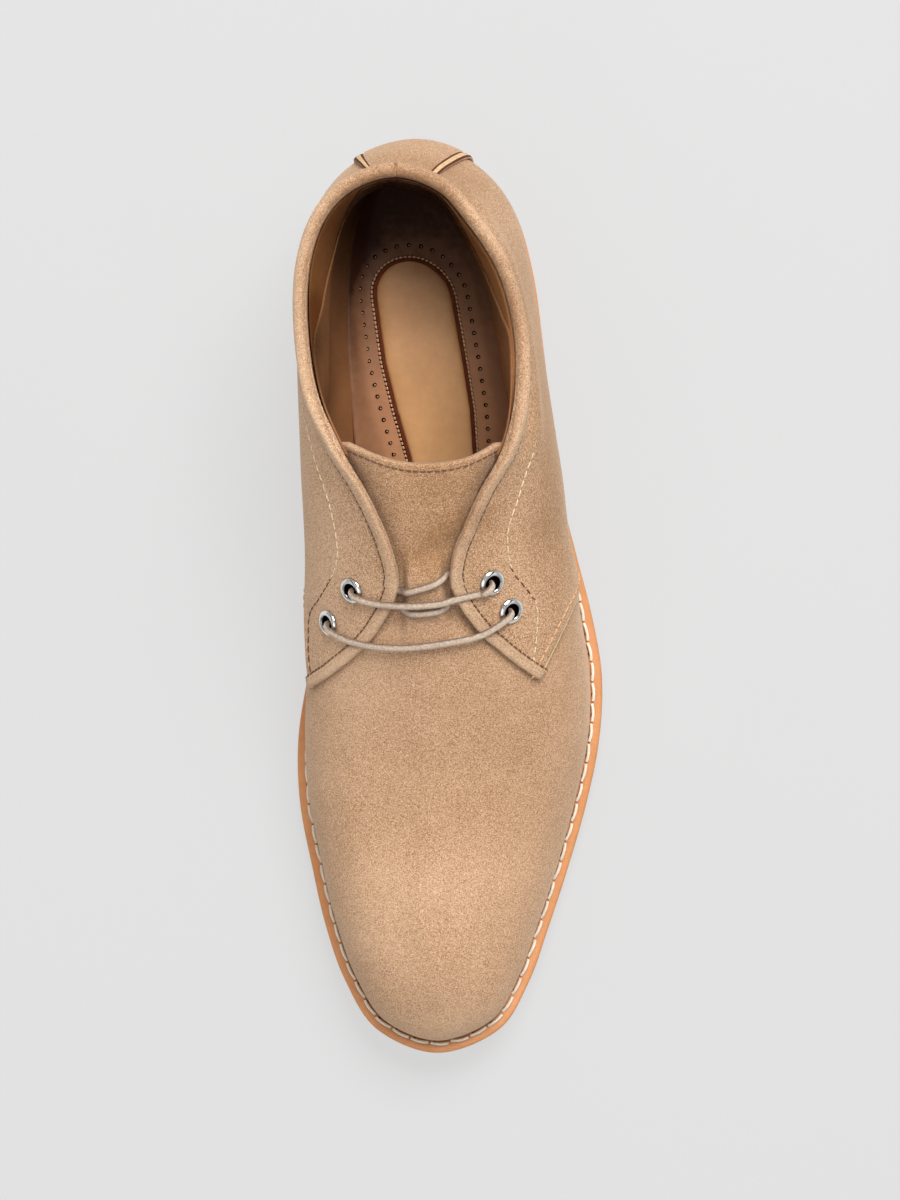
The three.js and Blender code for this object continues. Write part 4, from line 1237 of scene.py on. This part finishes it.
# The rows along the top binding, as (distance in from the edge, offset from the last): where its outer edge
# is sewn down, and on its inner face.
BINDING_ROW, COLLAR_ROW = (4.15, QUARTER + 0.18), (1.9, -2.15)
# The section of the quarter's raw front edge, as (across, up).
RAW_EDGE = np.array([[0.4, 0], [0.25, 0.3], [-0.25, 0.3], [-0.4, 0], [0, -0.3]])
# The row beside each facing, as (rib, height) from the collar down. The needle's thread is cream, but brown
# between the two shares of the row where it turns out round the eyelets.
FACING_TURNS = {MEDIAL: (0.57, 1.0), LATERAL: (0.6, 0.77)}
FACING_LINE = {
    MEDIAL: [
        (5.2, 0.86), (5.72, 0.85), (6.22, 0.83), (6.7, 0.81), (7.04, 0.8), (7.55, 0.77), (7.81, 0.75),
        (7.99, 0.72), (8.17, 0.66), (8.33, 0.58), (8.46, 0.48), (8.86, 0.46), (9.17, 0.47), (9.37, 0.5),
    ],
    LATERAL: [
        (5.2, 0.83), (5.69, 0.83), (6.34, 0.83), (6.94, 0.82), (7.4, 0.82), (7.72, 0.8), (8.05, 0.76),
        (8.24, 0.7), (8.44, 0.65), (8.9, 0.67), (9.18, 0.69),
    ],
}


def surface_line(places, side, offset):
    """Points along a line of places on the last, and the way the surface looks at each."""
    rib, height = route(places, np.linspace(0, 1, FINE)).T
    return split_line(seated(rib, height, side, offset))


def edge_line(start, end, distance, offset, side):
    """A line a distance in from the quarter's top edge."""
    slid, v = from_edge(np.linspace(start, end, FINE), distance, side)
    rib, height = quarter_place(np.abs(slid), v, side).T
    return split_line(seated(rib, height, side, offset))


def tongue_line(down):
    """A line under the tongue's top edge, a share of a rib further down."""
    a = np.linspace(-0.97, 0.97, 300)
    side, b = np.where(a < 0, MEDIAL, LATERAL), np.abs(a)
    ridge, edge, edge_height = VAMP_ROWS[0][:3]
    rib, height = mix(ridge, edge, b * b) + down, mix(2, edge_height, b)
    return split_line(seated(rib, height, side, vamp_face(rib, height) + PROUD))


def rim_line(first, end, side):
    """The corner between the suede and the welt, from a rib to another."""
    rib, side = fold(np.linspace(first, end, FINE), np.full(FINE, side))
    into = inward(rib, side)
    points = sole_edge(rib, side) + into * (column("inset", rib, side) - RIM_ROW["out"])[:, None]
    points[:, 2] = midsole_top(MIDDLE["station"] - points[:, 1]) + RIM_ROW["up"]
    return split_line(np.concatenate([points, UP - into * 0.75], -1))


def make_rows(name, tree, lines, slot, finish, **inputs):
    """One piece of stitches or holes along several lines of (points, faces)."""
    inputs.update(Seed=1, Material=MATERIALS[finish])
    meshes = [run_along(name, tree, points, faces, **inputs) for points, faces in lines]
    row, *others = (new_object(mesh) for mesh in meshes)
    if others:
        with bpy.context.temp_override(active_object=row, selected_editable_objects=[row, *others]):
            bpy.ops.object.join()
    finish_piece(row, slot)


def facing_rows():
    """The rows beside the facings, split into their cream parts and the brown turns round the eyelets."""
    pale, dark = [], []
    for side, turns in FACING_TURNS.items():
        row = surface_line(FACING_LINE[side], side, QUARTER + PROUD)
        start, end = (round(turn * len(row[0])) for turn in turns)
        pale.append([a[:start] for a in row])
        dark.append([a[start:end] for a in row])
        if end < len(row[0]):
            pale.append([a[end:] for a in row])
    return pale, dark


def make_stitches(sizes):
    """Every sewn row and every row of holes, and the raw edges that the seam leaves."""
    threads, holes = stitch_tree(), hole_tree()

    def sew(name, lines, finish, pitch, length, diameter, rise):
        """Stitches, each a share of the pitch long. The thread's diameter and its rise are in millimetres."""
        make_rows(
            name, threads, lines, "lace_cotton", finish,
            Pitch=pitch, Stitch_length=pitch * length, Thread_diameter=diameter * MM, Rise=rise * MM,
        )

    def punch(name, line, slot, finish, pitch, diameter):
        make_rows(name, holes, [line], slot, finish, Pitch=pitch, Diameter=diameter * MM)

    # Round the rim, with a hole between every two stitches.
    medial, lateral = rim_line(RIM_ROW["start"], TOE, MEDIAL), rim_line(TOE, RIM_ROW["start"], LATERAL)
    rim = [np.concatenate([a, b[1:]]) for a, b in zip(medial, lateral)]
    sew("rim_stitches", [rim], "rim thread", sizes.rim_pitch, 0.86, 1.1, 0.7)
    half = round(sizes.rim_pitch / MM / 2 / SPACING)
    between = (rim[0][half:] - rim[1][half:] * 0.25, rim[1][half:])
    punch("rim_holes", between, "midsole_leather", "hole", sizes.rim_pitch, 1.3)
    # On the upper.
    pale, dark = facing_rows()
    sew("facing_stitches", pale, "cream thread", sizes.facing_pitch, 0.72, 0.46, 0.26)
    sew("eyelet_stitches", dark, "brown thread", sizes.facing_pitch, 0.72, 0.46, 0.26)
    for name, side in (("medial_raw_edge", MEDIAL), ("lateral_raw_edge", LATERAL)):
        rings = cord_sections(*surface_line(SEAM[side], side, QUARTER - 0.25), RAW_EDGE)
        add_piece(tube_mesh(name, rings), ["raw edge"], "suede")
    seam = {side: [(rib - 0.04, height + 0.03) for rib, height in SEAM[side][1:]] for side in SEAM}
    rows = [surface_line(places, side, QUARTER + PROUD) for side, places in seam.items()]
    sew("seam_stitches", rows, "tan thread", sizes.facing_pitch, 0.75, 0.45, 0.3)
    rows = [edge_line(1, 0, *BINDING_ROW, side) for side in (MEDIAL, LATERAL)]
    sew("binding_stitches", rows, "brown thread", sizes.band_pitch, 0.7, 0.42, 0.25)
    rows = [edge_line(0.7, 0, *COLLAR_ROW, side) for side in (MEDIAL, LATERAL)]
    rows = [(points, -faces) for points, faces in rows]
    sew("collar_stitches", rows, "brown thread", sizes.band_pitch, 0.7, 0.42, 0.25)
    sew("tongue_stitches", [tongue_line(0.14)], "brown thread", sizes.band_pitch, 0.75, 0.5, 0.3)
    # Round the heel pad: stitches in their needle holes, and perforations further out.
    pad = pad_line(STITCHES_OUT, 0.1)
    sew("pad_stitches", [(pad, UP)], "tan thread", PAD_PITCH * MM, 0.76 / PAD_PITCH, 0.66, 0.3)
    punch("pad_needle_holes", (pad[1:] - UP * 0.04, UP), "insole_leather", "hole", PAD_PITCH * MM, 1.05)
    line = pad_line(HOLES_OUT, 0.02)
    punch("insole_perforations", (line, UP), "insole_leather", "hole", sizes.hole_pitch, 1.4)
    # The floor of each perforation shows a little off its middle.
    floors = line + np.array([0.1, -0.1, 0.1])
    punch("perforation_floors", (floors, UP), "insole_leather", "board", sizes.hole_pitch, 0.6)


# ---------------------------------------------------------------- floor, light and camera
WHITE = "#ffffff"
SHEET = 20.0  # half the width of the floor, in metres
# The lamps, as (place in metres, width).
SOFTBOXES = {"heel softbox": ((0.3, 0.85, 1.45), 0.9), "toe softbox": ((-0.5, -0.9, 1.6), 1.2)}


def link_object(name, data, location):
    made = bpy.data.objects.new(name, data)
    made.location = location
    bpy.context.scene.collection.objects.link(made)
    return made


def make_floor(stage):
    """A matt white sheet on a lit table, whose glow from below takes the weight out of the shadows."""
    floor = bpy.data.meshes.new("floor")
    corners = [(x * SHEET, y * SHEET, 0.0) for x, y in ((-1, -1), (1, -1), (1, 1), (-1, 1))]
    floor.from_pydata(corners, [], [(0, 1, 2, 3)])
    sheet = grained(
        "opal sheet, lit from below", stage.floor_dark, stage.floor_light, [(60, 0.2, 1.0)], [],
        Roughness=1.0, Specular_IOR_Level=0.0, Emission_Color=linear(WHITE), Emission_Strength=stage.table,
    )
    new_object(floor, sheet)


def make_world(ambient):
    """High over the boot, bright panels and the dark gaps between them, which polished metal mirrors; an
    even glow lower down."""
    world = bpy.data.worlds.new("soft studio")
    bpy.context.scene.world = world
    world.use_nodes = True
    tree = world.node_tree
    where = add_node(tree, "ShaderNodeTexCoord", output="Generated")
    height = add_node(tree, "ShaderNodeSeparateXYZ", {0: where}, "Z")
    waves = {"Vector": where, "Scale": 0.9, "Phase Offset": 0.6}
    panels = add_node(tree, "ShaderNodeTexWave", waves, "Fac")
    gaps = {"Value": panels, "From Min": 0.4, "From Max": 0.6, "To Min": 0.1, "To Max": 1.9}
    panels = add_node(tree, "ShaderNodeMapRange", gaps)
    high = add_node(tree, "ShaderNodeMapRange", {"Value": height, "From Min": 0.35, "From Max": 0.45})
    glow = add_node(tree, "ShaderNodeMix", {"Factor": high, "A": 1.0, "B": panels})
    background = tree.nodes["Background"]
    background.inputs["Color"].default_value = linear(WHITE)
    tree.links.new(times(tree, glow, ambient), background.inputs["Strength"])


def make_stage(stage):
    """The floor, the light from all round, the softboxes and the camera."""
    make_floor(stage)
    make_world(stage.ambient)
    for (name, (location, size)), power in zip(SOFTBOXES.items(), (stage.key, stage.fill)):
        lamp = bpy.data.lights.new(name, "AREA")
        lamp.shape, lamp.size, lamp.energy = "SQUARE", size, power
        box = link_object(name, lamp, location)
        box.rotation_mode = "QUATERNION"
        box.rotation_quaternion = (-Vector(location)).to_track_quat("-Z", "Y")
    camera = bpy.data.cameras.new("camera")
    camera.lens = stage.lens
    camera.sensor_width = 36.0
    bpy.context.scene.camera = link_object("camera", camera, (0.0, 0.0, stage.height))
    bpy.context.scene.view_settings.view_transform = "Standard"


# ---------------------------------------------------------------- the add-on
def colour(name, description, default):
    return StringProperty(name=name, description=description, default=default)


def number(name, description, default, unit="NONE"):
    return FloatProperty(name=name, description=description, default=default, unit=unit)


class BootLooks(bpy.types.PropertyGroup):
    suede_dark: colour("Suede, dark", "Where the suede's nap is brushed away from the light", "#8f6440")
    suede_light: colour("Suede, light", "Where the suede's nap is brushed towards the light", "#deb797")
    band_dark: colour("Binding, dark", "The binding's darker fibres", "#8a6447")
    band_light: colour("Binding, light", "The binding's paler fibres", "#e8c5a4")


class BootStitches(bpy.types.PropertyGroup):
    rim_pitch: number("Rim pitch", "From one rim stitch to the next", 6.7 * MM, "LENGTH")
    facing_pitch: number("Facing pitch", "From one facing stitch to the next", 3.1 * MM, "LENGTH")
    band_pitch: number("Binding pitch", "From one binding stitch to the next", 2.2 * MM, "LENGTH")
    hole_pitch: number("Perforation pitch", "From one hole round the pad to the next", 3.95 * MM, "LENGTH")


class BootStage(bpy.types.PropertyGroup):
    lens: number("Lens", "Focal length on a 36 mm sensor", 135.0, "CAMERA")
    height: number("Camera height", "Above the floor, straight over the boot", 1.5, "LENGTH")
    ambient: number("Ambient", "Strength of the light from all round", 0.46)
    key: number("Key light", "Power of the softbox behind the heel", 33.0, "POWER")
    fill: number("Fill light", "Power of the softbox over the toe", 4.0, "POWER")
    table: number("Table", "Glow of the sheet under the boot", 0.605)
    floor_dark: colour("Floor, dark", "The sheet's darker tone", "#5e5e5e")
    floor_light: colour("Floor, light", "The sheet's lighter tone", "#646464")


class BOOT_OT_materials(bpy.types.Operator):
    """Make the finish of every piece"""

    bl_idname = "boot.materials"
    bl_label = "Materials"

    def execute(self, context):
        MATERIALS.update(make_materials(context.scene.boot_looks))
        return {"FINISHED"}


class BOOT_OT_stage(bpy.types.Operator):
    """Make the floor, the soft lights and the camera"""

    bl_idname = "boot.stage"
    bl_label = "Stage"

    def execute(self, context):
        make_stage(context.scene.boot_stage)
        return {"FINISHED"}


class BOOT_OT_sole(bpy.types.Operator):
    """Make the midsole, the outsole and the heel block"""

    bl_idname = "boot.sole"
    bl_label = "Sole"

    def execute(self, context):
        make_sole()
        make_heel_block()
        return {"FINISHED"}


class BOOT_OT_inside(bpy.types.Operator):
    """Make the linings, the insole and its heel pad"""

    bl_idname = "boot.inside"
    bl_label = "Inside"

    def execute(self, context):
        make_quarter_lining()
        make_heel_lining()
        make_insole()
        make_pad()
        return {"FINISHED"}


class BOOT_OT_upper(bpy.types.Operator):
    """Make the vamp with its tongue, the quarters, the binding and the heel stay"""

    bl_idname = "boot.upper"
    bl_label = "Upper"

    def execute(self, context):
        make_vamp()
        make_quarters()
        make_binding()
        make_heel_stay()
        return {"FINISHED"}


class BOOT_OT_lacing(bpy.types.Operator):
    """Make the eyelets and the runs of the lace"""

    bl_idname = "boot.lacing"
    bl_label = "Lacing"

    def execute(self, context):
        make_eyelets()
        make_laces()
        return {"FINISHED"}


class BOOT_OT_stitches(bpy.types.Operator):
    """Sew every seam and punch the insole's holes"""

    bl_idname = "boot.stitches"
    bl_label = "Stitches"

    def execute(self, context):
        make_stitches(context.scene.boot_stitches)
        return {"FINISHED"}


STEPS = ["materials", "stage", "sole", "inside", "upper", "lacing", "stitches"]


class BOOT_PT_panel(bpy.types.Panel):
    """The boot's steps and settings"""

    bl_idname = "BOOT_PT_panel"
    bl_label = "Chukka boot"
    bl_space_type = "VIEW_3D"
    bl_region_type = "UI"
    bl_category = "Boot"

    def draw(self, context):
        for step in STEPS:
            self.layout.operator("boot." + step)
        for group in (context.scene.boot_looks, context.scene.boot_stitches, context.scene.boot_stage):
            for name in group.__annotations__:
                self.layout.prop(group, name)


CLASSES = (
    BootLooks, BootStitches, BootStage,
    BOOT_OT_materials, BOOT_OT_stage, BOOT_OT_sole, BOOT_OT_inside, BOOT_OT_upper, BOOT_OT_lacing,
    BOOT_OT_stitches, BOOT_PT_panel,
)


def register():
    for cls in CLASSES:
        bpy.utils.register_class(cls)
    bpy.types.Scene.boot_looks = PointerProperty(type=BootLooks)
    bpy.types.Scene.boot_stitches = PointerProperty(type=BootStitches)
    bpy.types.Scene.boot_stage = PointerProperty(type=BootStage)


def unregister():
    del bpy.types.Scene.boot_looks, bpy.types.Scene.boot_stitches, bpy.types.Scene.boot_stage
    for cls in reversed(CLASSES):
        bpy.utils.unregister_class(cls)


def main():
    register()
    for step in STEPS:
        getattr(bpy.ops.boot, step)()


if __name__ == "__main__":
    main()
